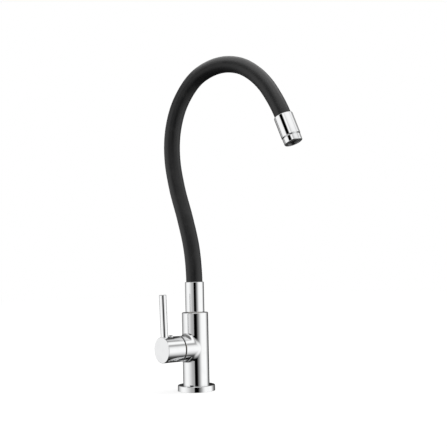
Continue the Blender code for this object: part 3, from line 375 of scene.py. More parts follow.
BODY_HEIGHT = 0.1061
BODY_EDGE = 0.0005
BODY_TOP_EDGE = 0.0016
SLIP_WALL, SLIP_FLOOR = 0.0129, 0.1050
SOCKET_R, SOCKET_FLOOR = 0.0100, 0.0770
LEVER_AXIS_Z = 0.0580
BOSS_R = 0.0172
BOSS_REACH = 0.0272
NECK_TOP, NECK_SIDE, NECK_BOTTOM = 0.0040, 0.0125, 0.0028
HEAD_BORE_R, HEAD_SEAT = 0.0138, 0.0190
VALVE_BORE_R = 0.0105
CHAMBER_R, CHAMBER_END = 0.0070, -0.0080
INLET_X, INLET_Y, INLET_R, INLET_DEPTH = 0.0042, 0.0080, 0.0050, 0.0140
WATERWAY_R, WATERWAY_TOP = 0.0030, 0.0400
STUD_X, STUD_Y, STUD_R, STUD_DEPTH = -0.0042, -0.0085, 0.0040, 0.0120
SCREW_HOLE_R, SCREW_HOLE_Z, SCREW_HOLE_FLOOR = 0.0023, 0.0972, 0.0106
BOSS_HALF_TURN = 80.0
BOSS_PATCH = (0.0345, 0.0815)
SCREW_PATCH = (0.0942, 0.1002)
SCREW_TURN = 90.0
BOSS_CELLS, REAR_CELLS, SCREW_CELLS = 64, 80, 8
PORT_CELLS = 48
WEB_ROWS, WEB_SPREAD = 16, 1.6
BOSS_ROWS = 7
FILLET_ROWS = 16
NECK_STEP = 1e-4


def lines(low, high, cells):
    """Evenly spaced lines of a patch."""
    return np.linspace(low, high, cells + 1)


def on_wall(axis, radius, turns, heights):
    """Points of a round wall and their outward directions."""
    origin, across, beside, along = axis
    outs = np.cos(turns)[..., None] * across + np.sin(turns)[..., None] * beside
    return origin + radius * outs + heights[..., None] * along, outs


def wall(axis, radius, turns, heights):
    """Sheet of a round wall between lines of turn (degrees) and height."""
    turn, height = np.meshgrid(np.radians(turns), heights)
    return grid(*on_wall(axis, radius, turn, height))


def round_the_patch(turns, heights, centre):
    """Outer edge of a patch as (turn, height), and the angle round its centre at each."""
    half = math.pi / 4
    edge, angles = [], []
    for turn in turns[:-1]:
        edge.append((turn, heights[-1]))
        angles.append(half * (turn - centre) / (turns[-1] - centre))
    middle = (heights[0] + heights[-1]) / 2
    reach = heights[-1] - middle
    for height in heights[:0:-1]:
        edge.append((turns[-1], height))
        angles.append(2 * half - half * (height - middle) / reach)
    for turn in turns[:0:-1]:
        edge.append((turn, heights[0]))
        angles.append(4 * half - half * (turn - centre) / (turns[-1] - centre))
    for height in heights[:-1]:
        edge.append((turns[0], height))
        angles.append(6 * half + half * (height - middle) / reach)
    edge.append(edge[0])
    angles.append(angles[0] + 2 * math.pi)
    return np.array(edge), np.array(angles)


def web(axis, radius, turns, heights, rim):
    """Sheet of a round wall from the rim of an opening to the edge of its patch.

    The rim gives (turn, height) for an angle round the opening. Returns the sheet and
    the angles, so that what stands in the opening can share its points.
    """
    edge, angles = round_the_patch(turns, heights, (turns[0] + turns[-1]) / 2)
    edge = np.column_stack([np.radians(edge[:, 0]), edge[:, 1]])
    inner = np.column_stack(rim(angles))
    shares = (np.linspace(0, 1, WEB_ROWS + 1) ** WEB_SPREAD)[:, None, None]
    laid = inner + shares * (edge - inner)
    return grid(*on_wall(axis, radius, laid[..., 0], laid[..., 1])), angles


def round_opening(radius, hole_r, turn, height):
    """Rim of a round hole drilled square into a round wall."""
    return lambda angles: (math.radians(turn) + np.arcsin(hole_r * np.sin(angles) / radius),
                           height + hole_r * np.cos(angles))


def drilled(axis, radius, hole_r, turn, height, angles, floor):
    """Wall and floor of a blind hole drilled square into a round wall."""
    origin, across, beside, along = axis
    inward = math.cos(math.radians(turn)) * across + math.sin(math.radians(turn)) * beside
    sideways = -math.sin(math.radians(turn)) * across + math.cos(math.radians(turn)) * beside
    spoke = np.sin(angles)[:, None] * sideways + np.cos(angles)[:, None] * along
    mouth = np.sqrt(radius**2 - (hole_r * np.sin(angles)) ** 2)[:, None] * inward
    centre = origin + height * along
    top = centre + hole_r * spoke + mouth
    bottom = centre + hole_r * spoke + floor * inward
    middle = centre + 0 * spoke + floor * inward
    return [strip(top, bottom, -spoke), strip(bottom, middle, inward)]


def flat_sheet(loops, out):
    """Flat sheet inside the first loop of points and outside the others."""
    cells = tessellate_polygon([[Vector(point) for point in loop] for loop in loops])
    points = np.vstack(loops)
    return points, np.tile(np.array(out, float), (len(points), 1)), np.array(cells)


def neck_radius(angles):
    """Radius of the neck's fillet round the boss: wide at the sides, tight above and below."""
    tight = np.where(np.cos(angles) > 0, NECK_TOP, NECK_BOTTOM)
    return tight + (NECK_SIDE - tight) * np.sin(angles) ** 2


def neck_ball(angles):
    """Centre of the ball that touches body and boss, with the ways from it to both."""
    ball_r = neck_radius(angles)
    side = (BOSS_R + ball_r) * np.sin(angles)
    back = -np.sqrt((BODY_R + ball_r) ** 2 - side**2)
    ball = np.column_stack([back, side, LEVER_AXIS_Z + (BOSS_R + ball_r) * np.cos(angles)])
    to_body = -np.column_stack([back, side, 0 * side]) / (BODY_R + ball_r)[:, None]
    to_boss = -np.column_stack([0 * side, np.sin(angles), np.cos(angles)])
    return ball_r[:, None], ball, to_body, to_boss


def boss_rim(angles):
    """Line on the body where the fillet of the boss begins, as turns and heights."""
    _, ball, _, _ = neck_ball(angles)
    return np.arctan2(ball[:, 1], -ball[:, 0]), ball[:, 2]


def neck_rows(angles):
    """Rows of points over the fillet from the body to the boss, and the ways to them."""
    ball_r, ball, to_body, to_boss = neck_ball(angles)
    spread = np.arccos(np.clip((to_body * to_boss).sum(axis=1), -1, 1))[:, None]
    shares = np.linspace(0, 1, FILLET_ROWS + 1)[:, None, None]
    inward = (np.sin((1 - shares) * spread) * to_body
              + np.sin(shares * spread) * to_boss) / np.sin(spread)
    return ball + ball_r * inward, inward


def boss_fillet(angles):
    """Fillet between body and boss, and where it ends along the boss."""
    points, inward = neck_rows(angles)
    round_it = neck_rows(angles + NECK_STEP)[0] - neck_rows(angles - NECK_STEP)[0]
    over_it = np.gradient(points, axis=0)
    outs = np.cross(over_it, round_it)
    outs *= np.sign((outs * -inward).sum(axis=2, keepdims=True))
    outs /= np.linalg.norm(outs, axis=2, keepdims=True)
    outs[0], outs[-1] = -inward[0], -inward[-1]
    return grid(points, outs), neck_ball(angles)[1][:, 0]


def boss_side(angles, back):
    """Straight side of the boss, from its fillet to its rounded end."""
    end = np.full_like(back, -(BOSS_REACH - BODY_EDGE))
    rows = [np.column_stack([back + share * (end - back), BOSS_R * np.sin(angles),
                             LEVER_AXIS_Z + BOSS_R * np.cos(angles)])
            for share in np.linspace(0, 1, BOSS_ROWS)]
    outs = np.column_stack([0 * back, np.sin(angles), np.cos(angles)])
    return grid(np.array(rows), np.array([outs] * BOSS_ROWS))


def port(x, y, outline):
    """Blind port drilled up into the body's underside."""
    return turned(outline, standing((x, y, 0), (1, 0, 0), (0, 1, 0), (0, 0, 1)),
                  port_turns)


def circle(x, y, radius, turns):
    """Level loop of points at the body's underside, without its last point."""
    return np.column_stack([x + radius * np.cos(turns), y + radius * np.sin(turns),
                            0 * turns])[:-1]


LEVER = standing((0, 0, LEVER_AXIS_Z), (0, 0, 1), (0, 1, 0), (-1, 0, 0))
port_turns = lines(0, 2 * math.pi, PORT_CELLS)

front = lines(-BOSS_HALF_TURN, BOSS_HALF_TURN, BOSS_CELLS)
rear = lines(BOSS_HALF_TURN, 360 - BOSS_HALF_TURN, REAR_CELLS)
all_round = np.concatenate([front, rear[1:]])
boss_lines = lines(*BOSS_PATCH, BOSS_CELLS)
screw_lines = lines(*SCREW_PATCH, SCREW_CELLS)
boss_web, boss_angles = web(UPRIGHT, BODY_R, front, boss_lines, boss_rim)
fillet, fillet_back = boss_fillet(boss_angles)
screw_web, screw_angles = web(UPRIGHT, BODY_R, rear[:SCREW_CELLS + 1], screw_lines,
                              round_opening(BODY_R, SCREW_HOLE_R, SCREW_TURN,
                                            SCREW_HOLE_Z))
turn_all = np.radians(all_round)
body_sheets = [
    wall(UPRIGHT, BODY_R, all_round, lines(EDGE_BREAK, BOSS_PATCH[0], 4)),
    boss_web,
    wall(UPRIGHT, BODY_R, rear, boss_lines),
    wall(UPRIGHT, BODY_R, all_round, lines(BOSS_PATCH[1], SCREW_PATCH[0], 3)),
    wall(UPRIGHT, BODY_R, front, screw_lines),
    screw_web,
    wall(UPRIGHT, BODY_R, rear[SCREW_CELLS:], screw_lines),
    wall(UPRIGHT, BODY_R, all_round, lines(SCREW_PATCH[1], BODY_HEIGHT - BODY_TOP_EDGE, 2)),
    turned(rounded([(BODY_R, SCREW_PATCH[1], 0), (BODY_R, BODY_HEIGHT, BODY_TOP_EDGE),
                    (SLIP_WALL, BODY_HEIGHT, EDGE_BREAK), (SLIP_WALL, SLIP_FLOOR, 0),
                    (SOCKET_R, SLIP_FLOOR, EDGE_BREAK), (SOCKET_R, SOCKET_FLOOR, 0),
                    (0, SOCKET_FLOOR, 0)])[1:], UPRIGHT, turn_all),
    turned(rounded([(BODY_R - 2 * EDGE_BREAK, 0, 0), (BODY_R, 0, EDGE_BREAK),
                    (BODY_R, BODY_EDGE, 0)])[1:-1], UPRIGHT, turn_all),
    flat_sheet([circle(0, 0, BODY_R - EDGE_BREAK, math.pi - turn_all),
                circle(INLET_X, INLET_Y, INLET_R, port_turns),
                circle(STUD_X, STUD_Y, STUD_R, port_turns)], (0, 0, -1)),
    port(INLET_X, INLET_Y, rounded([(0, WATERWAY_TOP, 0), (WATERWAY_R, WATERWAY_TOP, 0),
                                    (WATERWAY_R, INLET_DEPTH, 0), (INLET_R, INLET_DEPTH, 0),
                                    (INLET_R, 0, 0)])),
    port(STUD_X, STUD_Y, rounded([(0, STUD_DEPTH, 0), (STUD_R, STUD_DEPTH, 0),
                                  (STUD_R, 0, 0)])),
    fillet,
    boss_side(boss_angles, fillet_back),
    turned(rounded([(BOSS_R, 0, 0), (BOSS_R, BOSS_REACH, BODY_EDGE),
                    (HEAD_BORE_R, BOSS_REACH, EDGE_BREAK), (HEAD_BORE_R, HEAD_SEAT, 0),
                    (VALVE_BORE_R, HEAD_SEAT, EDGE_BREAK), (VALVE_BORE_R, 0, 0),
                    (CHAMBER_R, 0, 0), (CHAMBER_R, CHAMBER_END, 0), (0, CHAMBER_END, 0)])[1:],
           LEVER, boss_angles),
]
body_sheets += drilled(UPRIGHT, BODY_R, SCREW_HOLE_R, SCREW_TURN, SCREW_HOLE_Z,
                       screw_angles, SCREW_HOLE_FLOOR)
fit_out(welded("body_casting", body_sheets), CHROME_UPRIGHT, "body", "chrome", "faucet_body")

# ----------------------------------------
# Small pieces in the body: the moulded inlet strainer, the slip ring under the collar,
# and the steel screw at the rear whose point runs in the spout stem's groove.

PALE_CLEAN = (0.78, 0.775, 0.75)
PALE_DUSTY = (0.66, 0.655, 0.63)
BLACK_CLEAN = (0.022, 0.022, 0.023)
BLACK_DUSTY = (0.045, 0.045, 0.046)
STEEL_BRIGHT = (0.64, 0.64, 0.65)
STEEL_DEEP = (0.50, 0.50, 0.515)

PALE_PLASTIC = moulded("white plastic", PALE_CLEAN, PALE_DUSTY, 900.0, 0.34, 0.52)
BLACK_PLASTIC = moulded("black plastic", BLACK_CLEAN, BLACK_DUSTY, 1500.0, 0.34, 0.50)
STEEL = worked_metal("stainless steel", (0, 0, 0), (0, 0, 1), STEEL_BRIGHT, STEEL_DEEP, 0.20,
                     0.36, 4200.0, 0.000008)

dress(PALE_PLASTIC, "inlet_strainer")
# The slip ring is black plastic, and its black also stands in for the shade in the thin gap
# between collar and body top: painted shade.
dress(BLACK_PLASTIC, "slip_ring")
dress(STEEL, "spout_retaining_screw")

# ----------------------------------------
# Quarter-turn valve. A turned brass cartridge holds two lapped ceramic discs; its spindle
# is brass too, with rubber seals, a plastic washer and a sprung steel clip.

BRASS_BRIGHT = (0.79, 0.60, 0.31)
BRASS_DEEP = (0.60, 0.42, 0.19)
CERAMIC_CLEAN = (0.83, 0.82, 0.79)
CERAMIC_WET = (0.74, 0.73, 0.70)


def brass(name, centre, axis):
    """Bare brass, as the lathe leaves it."""
    return worked_metal(name, centre, axis, BRASS_BRIGHT, BRASS_DEEP, 0.20, 0.38, 3600.0,
                        0.000010)


LEVER_CENTRE = (0, 0, LEVER_AXIS_Z)
BRASS_LEVER = brass("brass, turned on the lever's axis", LEVER_CENTRE, (-1, 0, 0))
CERAMIC = moulded("lapped ceramic", CERAMIC_CLEAN, CERAMIC_WET, 5200.0, 0.10, 0.24)

dress(BRASS_LEVER, "headwork_housing", "valve_spindle")
dress(RUBBER, "disc_seat_seal", "headwork_o_ring", "spindle_o_ring_inner",
      "spindle_o_ring_outer")
dress(CERAMIC, "fixed_ceramic_disc", "moving_ceramic_disc")
dress(PALE_PLASTIC, "spindle_thrust_washer")
dress(STEEL, "spindle_circlip")

# ----------------------------------------
# Lever barrel. Turned brass, chromed: hollow at its inner end, where it turns over the
# cartridge, and drilled from above for the pin and for the screw that holds the insert.

BARREL_R = BOSS_R
BARREL_IN = 0.0289
BARREL_FACE = 0.0564
BARREL_EDGE = 0.0006
SKIRT_R, SKIRT_END = 0.0130, 0.0327
INSERT_SEAT_R, INSERT_SEAT_END = 0.0069, 0.0453
PIN_R = 0.0048
PIN_HOLE_R, PIN_PLACE, PIN_HOLE_FLOOR = 0.0040, 0.0515, 0.0097
CAP_HOLE_R, CAP_PLACE, CAP_HOLE_FLOOR = 0.0025, 0.0415, 0.0153
PIN_PATCH = (0.0446, 0.0558)
PIN_HALF_TURN = 25.0
CAP_PATCH = (0.0384, 0.0446)
# Where the patches of pin and cap begin and end in the barrel's row of turns
PIN_LAST, CAP_FIRST, CAP_LAST = 20, 6, 14
PIN_ROWS, CAP_ROWS = 16, 8

CHROME_LEVER = chromed("chrome, lever barrel", LEVER_CENTRE, (-1, 0, 0))

barrel_round = lines(-PIN_HALF_TURN, 360 - PIN_HALF_TURN, ROUND_STEPS)
pin_lines = lines(*PIN_PATCH, PIN_ROWS)
cap_lines = lines(*CAP_PATCH, CAP_ROWS)
pin_web, pin_angles = web(LEVER, BARREL_R, barrel_round[:PIN_LAST + 1], pin_lines,
                          round_opening(BARREL_R, PIN_HOLE_R, 0.0, PIN_PLACE))
cap_web, cap_angles = web(LEVER, BARREL_R, barrel_round[CAP_FIRST:CAP_LAST + 1], cap_lines,
                          round_opening(BARREL_R, CAP_HOLE_R, 0.0, CAP_PLACE))
turn_barrel = np.radians(barrel_round)
barrel_sheets = [
    turned(rounded([(0, INSERT_SEAT_END, 0), (INSERT_SEAT_R, INSERT_SEAT_END, 0),
                    (INSERT_SEAT_R, SKIRT_END, EDGE_BREAK), (SKIRT_R, SKIRT_END, 0),
                    (SKIRT_R, BARREL_IN, EDGE_BREAK), (BARREL_R, BARREL_IN, BODY_EDGE),
                    (BARREL_R, CAP_PATCH[0], 0)])[:-1], LEVER, turn_barrel),
    wall(LEVER, BARREL_R, barrel_round, lines(BARREL_IN + BODY_EDGE, CAP_PATCH[0], 4)),
    cap_web,
    wall(LEVER, BARREL_R, np.concatenate([barrel_round[CAP_LAST:],
                                          barrel_round[1:CAP_FIRST + 1] + 360]), cap_lines),
    pin_web,
    wall(LEVER, BARREL_R, barrel_round[PIN_LAST:], pin_lines),
    turned(rounded([(BARREL_R, PIN_PATCH[0], 0), (BARREL_R, BARREL_FACE, BARREL_EDGE),
                    (0, BARREL_FACE, 0)])[1:], LEVER, turn_barrel),
]
barrel_sheets += drilled(LEVER, BARREL_R, PIN_HOLE_R, 0.0, PIN_PLACE, pin_angles,
                         PIN_HOLE_FLOOR)
barrel_sheets += drilled(LEVER, BARREL_R, CAP_HOLE_R, 0.0, CAP_PLACE, cap_angles,
                         CAP_HOLE_FLOOR)
fit_out(welded("lever_barrel", barrel_sheets), CHROME_LEVER, "handle", "chrome",
        "handle_barrel")

# ----------------------------------------
# Pin lever. Round brass bar, chromed, pressed tight into the barrel near its face, where it
# leans a little outwards; its top is faced flat with a small soft edge.

PIN_FOOT = 0.0100
PIN_REACH = 0.0729
PIN_EDGE = 0.0006
PIN_LEAN = math.radians(1.8)

PIN_ALONG = (-math.sin(PIN_LEAN), 0, math.cos(PIN_LEAN))
PIN_ACROSS = (-math.cos(PIN_LEAN), 0, -math.sin(PIN_LEAN))
PIN_START = (-PIN_PLACE + BARREL_R * math.tan(PIN_LEAN), 0, LEVER_AXIS_Z)
PIN_AXIS = standing(PIN_START, PIN_ACROSS, (0, 1, 0), PIN_ALONG)
CHROME_PIN = chromed("chrome, pin", PIN_START, PIN_ALONG)

pin = welded("lever_pin", [turned(rounded([
    (0, PIN_FOOT, 0), (PIN_R, PIN_FOOT, PIN_EDGE), (PIN_R, PIN_REACH, PIN_EDGE),
    (0, PIN_REACH, 0)]), PIN_AXIS)])
fit_out(pin, CHROME_PIN, "handle", "chrome", "pin_lever")

# ----------------------------------------
# What fastens the lever: the toothed brass insert, the steel grub screw that bears on it,
# and the chromed domed cap that snaps into the screw's hole and sits on the round barrel.

CAP_R = 0.0034
CAP_STEM_R, CAP_STEM_FOOT = 0.0024, 0.0156
CAP_SEAT = 0.0175
CAP_RISE = 0.0015
CAP_LIFT = 0.00006
DOME_STEPS = 14

CAP_AXIS = standing((-CAP_PLACE, 0, LEVER_AXIS_Z), (-1, 0, 0), (0, 1, 0), (0, 0, 1))


def saddle(radius):
    """Ring of points just above the barrel round the cap's axis, its spokes and its lean."""
    origin, across, beside, along = CAP_AXIS
    turns = lines(0, 2 * math.pi, ROUND_STEPS)
    side = radius * np.sin(turns)
    height = np.sqrt(BARREL_R**2 - side**2) + CAP_LIFT
    spoke = np.cos(turns)[:, None] * across + np.sin(turns)[:, None] * beside
    return origin + radius * spoke + height[:, None] * along, spoke, side / BARREL_R


def domed_cap():
    """Sheets of the cap: dome, rim, saddle-shaped underside and stem."""
    lift = np.linspace(0, math.pi / 2, DOME_STEPS)
    dome = np.column_stack([CAP_R * np.cos(lift), CAP_SEAT + CAP_RISE * np.sin(lift),
                            np.cos(lift) / CAP_R, np.sin(lift) / CAP_RISE])
    dome[-1, 0] = 0
    origin, across, beside, along = CAP_AXIS
    rim, spoke, _ = saddle(CAP_R)
    rim_top = origin + CAP_R * spoke + CAP_SEAT * along
    rows, outs = [], []
    for radius in np.linspace(CAP_R, CAP_STEM_R, 4):
        ring, _, lean = saddle(radius)
        rows.append(ring)
        outs.append(-along * np.sqrt(1 - lean**2)[:, None] - beside * lean[:, None])
    stem_top = rows[-1]
    stem_foot = origin + CAP_STEM_R * spoke + CAP_STEM_FOOT * along
    foot = rounded([(0, CAP_STEM_FOOT, 0), (CAP_STEM_R, CAP_STEM_FOOT, 0)])
    return [turned(dome, CAP_AXIS), strip(rim_top, rim, spoke),
            grid(np.array(rows), np.array(outs)), strip(stem_top, stem_foot, spoke),
            turned(foot, CAP_AXIS)]


fit_out(welded("screw_cap", domed_cap()), CHROME_LEVER, "handle", "chrome", "grub_screw_plug")
dress(BRASS_LEVER, "spline_insert")
dress(STEEL, "handle_grub_screw")

# ----------------------------------------
# Swivel. The spout's brass stem turns in the body's socket on two slippery plastic
# bushes, and two rubber rings keep the water in.

BRASS_UPRIGHT = brass("brass, upright pieces", (0, 0, 0), (0, 0, 1))

dress(BRASS_UPRIGHT, "spout_stem")
dress(PALE_PLASTIC, "upper_swivel_bush", "lower_swivel_bush")
dress(RUBBER, "upper_swivel_o_ring", "lower_swivel_o_ring")

# ----------------------------------------
# Collar. Turned and chromed brass tube that stands on the body, turns with the spout and
# holds the foot of the hose.

COLLAR_R = 0.0129
COLLAR_LOW, COLLAR_FLOOR, COLLAR_RIM = 0.1064, 0.1096, 0.1474
COLLAR_BORE_R = 0.0113
COLLAR_EDGE = 0.0006
COLLAR_TOP_EDGE = 0.0008

collar = welded("hose_collar", [turned(rounded([
    (SOCKET_R, COLLAR_LOW, EDGE_BREAK), (COLLAR_R, COLLAR_LOW, COLLAR_EDGE),
    (COLLAR_R, COLLAR_RIM, COLLAR_TOP_EDGE), (COLLAR_BORE_R, COLLAR_RIM, EDGE_BREAK),
    (COLLAR_BORE_R, COLLAR_FLOOR, 0), (SOCKET_R, COLLAR_FLOOR, EDGE_BREAK)], closed=True),
    UPRIGHT)])
fit_out(collar, CHROME_UPRIGHT, "spout", "chrome", "spout_collar")

# ----------------------------------------
# Hose. A smooth matt black silicone skin is drawn over a ribbed steel gooseneck, which
# keeps the shape it is bent to; a plastic tube inside it carries the water.

HOSE_R = 0.0112
HOSE_BORE_R = 0.0094
HOSE_FOOT, ARCH_FOOT = 0.1182, 0.1488
SPOUT_TURN = math.radians(-65.0)
NOZZLE_TILT = math.radians(20.3)
ARCH_REACH, NOZZLE_REACH = 0.1370, 0.1365
ARCH_RISE = 0.2952
ARCH_DROP = 0.0777
HOSE_SEAT = 0.0130
ARCH_SHARES = (
    (-0.026, 0.156), (-0.093, 0.295), (-0.176, 0.436), (-0.226, 0.579), (-0.229, 0.640),
    (-0.210, 0.723), (-0.107, 0.857), (0.097, 0.963), (0.372, 1.000), (0.570, 0.981),
    (0.712, 0.938), (0.824, 0.883), (0.909, 0.821))
HOSE_STATIONS = 260
HOSE_AROUND = 72
SILICONE_CLEAN = (0.0088, 0.0090, 0.0096)
SILICONE_DUSTY = (0.0150, 0.0150, 0.0155)
TUBE_GREY = (0.70, 0.71, 0.72)

SPOUT_WAY = np.array((math.cos(SPOUT_TURN), math.sin(SPOUT_TURN), 0.0))
SPOUT_SIDE = np.array((-math.sin(SPOUT_TURN), math.cos(SPOUT_TURN), 0.0))
UP = np.array((0.0, 0.0, 1.0))
nozzle_start = np.array((NOZZLE_REACH, ARCH_FOOT + ARCH_RISE - ARCH_DROP))
nozzle_flow = np.array((math.sin(NOZZLE_TILT), -math.cos(NOZZLE_TILT)))


def hose_route():
    """Places of the hose's middle line in the spout's plane, close together."""
    own = [(0, HOSE_FOOT), (0, (HOSE_FOOT + ARCH_FOOT) / 2), (0, ARCH_FOOT)]
    own += [(x * ARCH_REACH, ARCH_FOOT + z * ARCH_RISE) for x, z in ARCH_SHARES]
    own += [tuple(nozzle_start), tuple(nozzle_start + nozzle_flow * HOSE_SEAT)]
    own = np.array(own)
    chords = np.linalg.norm(np.diff(own, axis=0), axis=1)
    slopes = np.gradient(own, np.concatenate([[0.0], np.cumsum(chords)]), axis=0)
    t = np.linspace(0, 1, 24, endpoint=False)[:, None]
    fine = [(2 * t**3 - 3 * t**2 + 1) * own[i] + (t**3 - 2 * t**2 + t) * chord * slopes[i]
            + (3 * t**2 - 2 * t**3) * own[i + 1] + (t**3 - t**2) * chord * slopes[i + 1]
            for i, chord in enumerate(chords)]
    fine = np.vstack(fine + [own[-1:]])
    walked = np.concatenate([[0.0], np.cumsum(np.linalg.norm(np.diff(fine, axis=0), axis=1))])
    even = np.linspace(0, walked[-1], HOSE_STATIONS)
    return np.column_stack([np.interp(even, walked, fine[:, 0]),
                            np.interp(even, walked, fine[:, 1])])


def hose_sheets():
    """Outer and inner skin of the hose and its two cut ends."""
    route = hose_route()
    steps = np.gradient(route, axis=0)
    steps /= np.linalg.norm(steps, axis=1, keepdims=True)
    middle = route[:, :1] * SPOUT_WAY + route[:, 1:] * UP
    across = -steps[:, 1:] * SPOUT_WAY + steps[:, :1] * UP
    forward = steps[:, :1] * SPOUT_WAY + steps[:, 1:] * UP
    turns = lines(0, 2 * math.pi, HOSE_AROUND)[None, :, None]
    spoke = np.cos(turns) * across[:, None] + np.sin(turns) * SPOUT_SIDE
    outer = middle[:, None] + HOSE_R * spoke
    inner = middle[:, None] + HOSE_BORE_R * spoke
    ends = [strip(outer[k], inner[k], sign * forward[k]) for k, sign in ((0, -1), (-1, 1))]
    return [grid(outer, spoke), grid(inner, -spoke)] + ends


SILICONE = moulded("black silicone", SILICONE_CLEAN, SILICONE_DUSTY, 2600.0, 0.37, 0.44)
TUBE_PLASTIC = moulded("grey-white tube plastic", TUBE_GREY, PALE_DUSTY, 700.0, 0.30, 0.45)

hose = welded("hose_outer", hose_sheets())
fit_out(hose, SILICONE, "spout", "black_silicone", "hose_skin")
dress(STEEL, "gooseneck_core")
dress(TUBE_PLASTIC, "water_tube")

# ----------------------------------------
# Nozzle. The brass adapter grips the water tube, and the chromed sleeve, turned with a
# step inside, covers it and the hose's end.

SLEEVE_R = 0.0130
SLEEVE_TOP, SLEEVE_LENGTH = 0.0032, 0.0329
SLEEVE_EDGE = 0.0004
SLEEVE_TOP_EDGE = 0.0008
SLEEVE_SEAT = 0.0244
NECK_R = 0.0099

NOZZLE_FLOW = nozzle_flow[0] * SPOUT_WAY + nozzle_flow[1] * UP
NOZZLE_ACROSS = -nozzle_flow[1] * SPOUT_WAY + nozzle_flow[0] * UP
NOZZLE_ORIGIN = nozzle_start[0] * SPOUT_WAY + nozzle_start[1] * UP
NOZZLE = standing(NOZZLE_ORIGIN, NOZZLE_ACROSS, SPOUT_SIDE, NOZZLE_FLOW)
CHROME_NOZZLE = chromed("chrome, nozzle", NOZZLE_ORIGIN, NOZZLE_FLOW)
BRASS_NOZZLE = brass("brass, nozzle adapter", NOZZLE_ORIGIN, NOZZLE_FLOW)

sleeve = welded("nozzle_shell", [turned(rounded([
    (COLLAR_BORE_R, SLEEVE_TOP, EDGE_BREAK), (SLEEVE_R, SLEEVE_TOP, SLEEVE_TOP_EDGE),
    (SLEEVE_R, SLEEVE_LENGTH, SLEEVE_EDGE), (NECK_R + FIT, SLEEVE_LENGTH, EDGE_BREAK),
    (NECK_R + FIT, SLEEVE_SEAT, 0), (COLLAR_BORE_R, SLEEVE_SEAT, 0)], closed=True), NOZZLE)])
fit_out(sleeve, CHROME_NOZZLE, "spout", "chrome", "nozzle_sleeve")
dress(BRASS_NOZZLE, "nozzle_adapter")

# ----------------------------------------
# Aerator. A chromed ring screws into the sleeve with a narrow groove between them. It
# holds a washer, a plastic jet cup, a steel screen and a black honeycomb at its mouth.

AERATOR_RING = 0.0343
AERATOR_END = 0.0427
AERATOR_IN = 0.0266
AERATOR_R, AERATOR_END_R = 0.0125, 0.0124
AERATOR_LIP = 0.0011
AERATOR_BORE_R, MOUTH_R, LEDGE = 0.0088, 0.0080, 0.0415
GRILLE_R, GRILLE_IN, GRILLE_OUT = 0.0085, 0.0392, 0.0412
CELL_PITCH = 0.0018
CELL_R = 0.00086
CELL_LIMIT = 0.0070

aerator = welded("aerator_ring", [turned(rounded([
    (AERATOR_BORE_R, AERATOR_IN, 0), (NECK_R, AERATOR_IN, EDGE_BREAK),
    (NECK_R, AERATOR_RING, 0), (AERATOR_R, AERATOR_RING, SLEEVE_EDGE),
    (AERATOR_END_R, AERATOR_END, AERATOR_LIP), (MOUTH_R, AERATOR_END, EDGE_BREAK),
    (MOUTH_R, LEDGE, 0), (AERATOR_BORE_R, LEDGE, 0)], closed=True), NOZZLE)])
fit_out(aerator, CHROME_NOZZLE, "spout", "chrome", "aerator_housing")


def honeycomb():
    """Sheets of a round grille with six-sided cells right through it."""
    turns = lines(0, 2 * math.pi, 72)
    rim = np.column_stack([np.cos(turns), np.sin(turns)]) * GRILLE_R
    corners = lines(0, 2 * math.pi, 6) + math.pi / 6
    cell = np.column_stack([np.cos(corners), np.sin(corners)]) * CELL_R
    rows = int(CELL_LIMIT / (CELL_PITCH * math.sqrt(3) / 2))
    loops = []
    for row in range(-rows, rows + 1):
        for column in range(-rows - 1, rows + 2):
            spot = np.array((CELL_PITCH * (column + 0.5 * (row % 2)),
                             CELL_PITCH * row * math.sqrt(3) / 2))
            if np.hypot(*spot) + CELL_R <= CELL_LIMIT:
                loops.append(cell + spot)
    origin, across, beside, along = NOZZLE

    def at(loop, height):
        return origin + loop[:, :1] * across + loop[:, 1:] * beside + height * along

    sheets = []
    for height, sign in ((GRILLE_IN, -1), (GRILLE_OUT, 1)):
        flat = [loop[:-1] for loop in [rim] + loops]
        cells = tessellate_polygon([[Vector((*point, 0)) for point in loop] for loop in flat])
        points = at(np.vstack(flat), height)
        sheets.append((points, np.tile(sign * along, (len(points), 1)), np.array(cells)))
    spoke = rim[:, :1] / GRILLE_R * across + rim[:, 1:] / GRILLE_R * beside
    sheets.append(strip(at(rim, GRILLE_IN), at(rim, GRILLE_OUT), spoke))
    for loop in loops:
        middle = at(loop[:-1].mean(axis=0)[None], 0)
        for k in range(6):
            pair = loop[k:k + 2]
            inward = middle - at(pair.mean(axis=0)[None], 0)
            sheets.append(strip(at(pair, GRILLE_IN), at(pair, GRILLE_OUT), inward))
    return sheets


fit_out(welded("aerator_honeycomb", honeycomb()), BLACK_PLASTIC, "spout", "black_plastic",
        "aerator_grille")
dress(RUBBER, "aerator_washer")
dress(PALE_PLASTIC, "aerator_insert")
dress(STEEL, "aerator_screen")

# ----------------------------------------
# Studio. A pale floor, a large soft lamp overhead, and a room of white card with dark gaps
# that the chrome mirrors; pin and hose each have a lit card that only they mirror. The
# camera is at the faucet's left front, looks up a little and is slightly rolled.

CAMERA_PLACE = (-0.66357, -0.88196, 0.14699)
CAMERA_TURN = math.radians(-39.133)
CAMERA_PITCH = math.radians(94.145)
CAMERA_ROLL = math.radians(-1.321)
CAMERA_LENS = 64.43
FLOOR_HALF = 6.0
FLOOR_COLOUR = (0.55, 0.55, 0.55)
FLOOR_GLOW = 0.60
LAMP_PLACE = (0.25, -0.35, 1.6)
LAMP_SIZE = 1.3
LAMP_WATTS = 6.0
PIN_CARD_TURN, PIN_CARD_RISE = math.radians(-46.0), 0.0
PIN_CARD_WIDTH, PIN_CARD_HEIGHT = 0.72, 1.2
PIN_CARD_WATTS = 0.6
HOSE_CARD_TURN, HOSE_CARD_RISE = math.radians(150.0), math.radians(86.0)
HOSE_CARD_WIDTH, HOSE_CARD_HEIGHT = 2.0, 2.0
HOSE_CARD_WATTS = 20.0
ROOM_LIGHT = 0.75
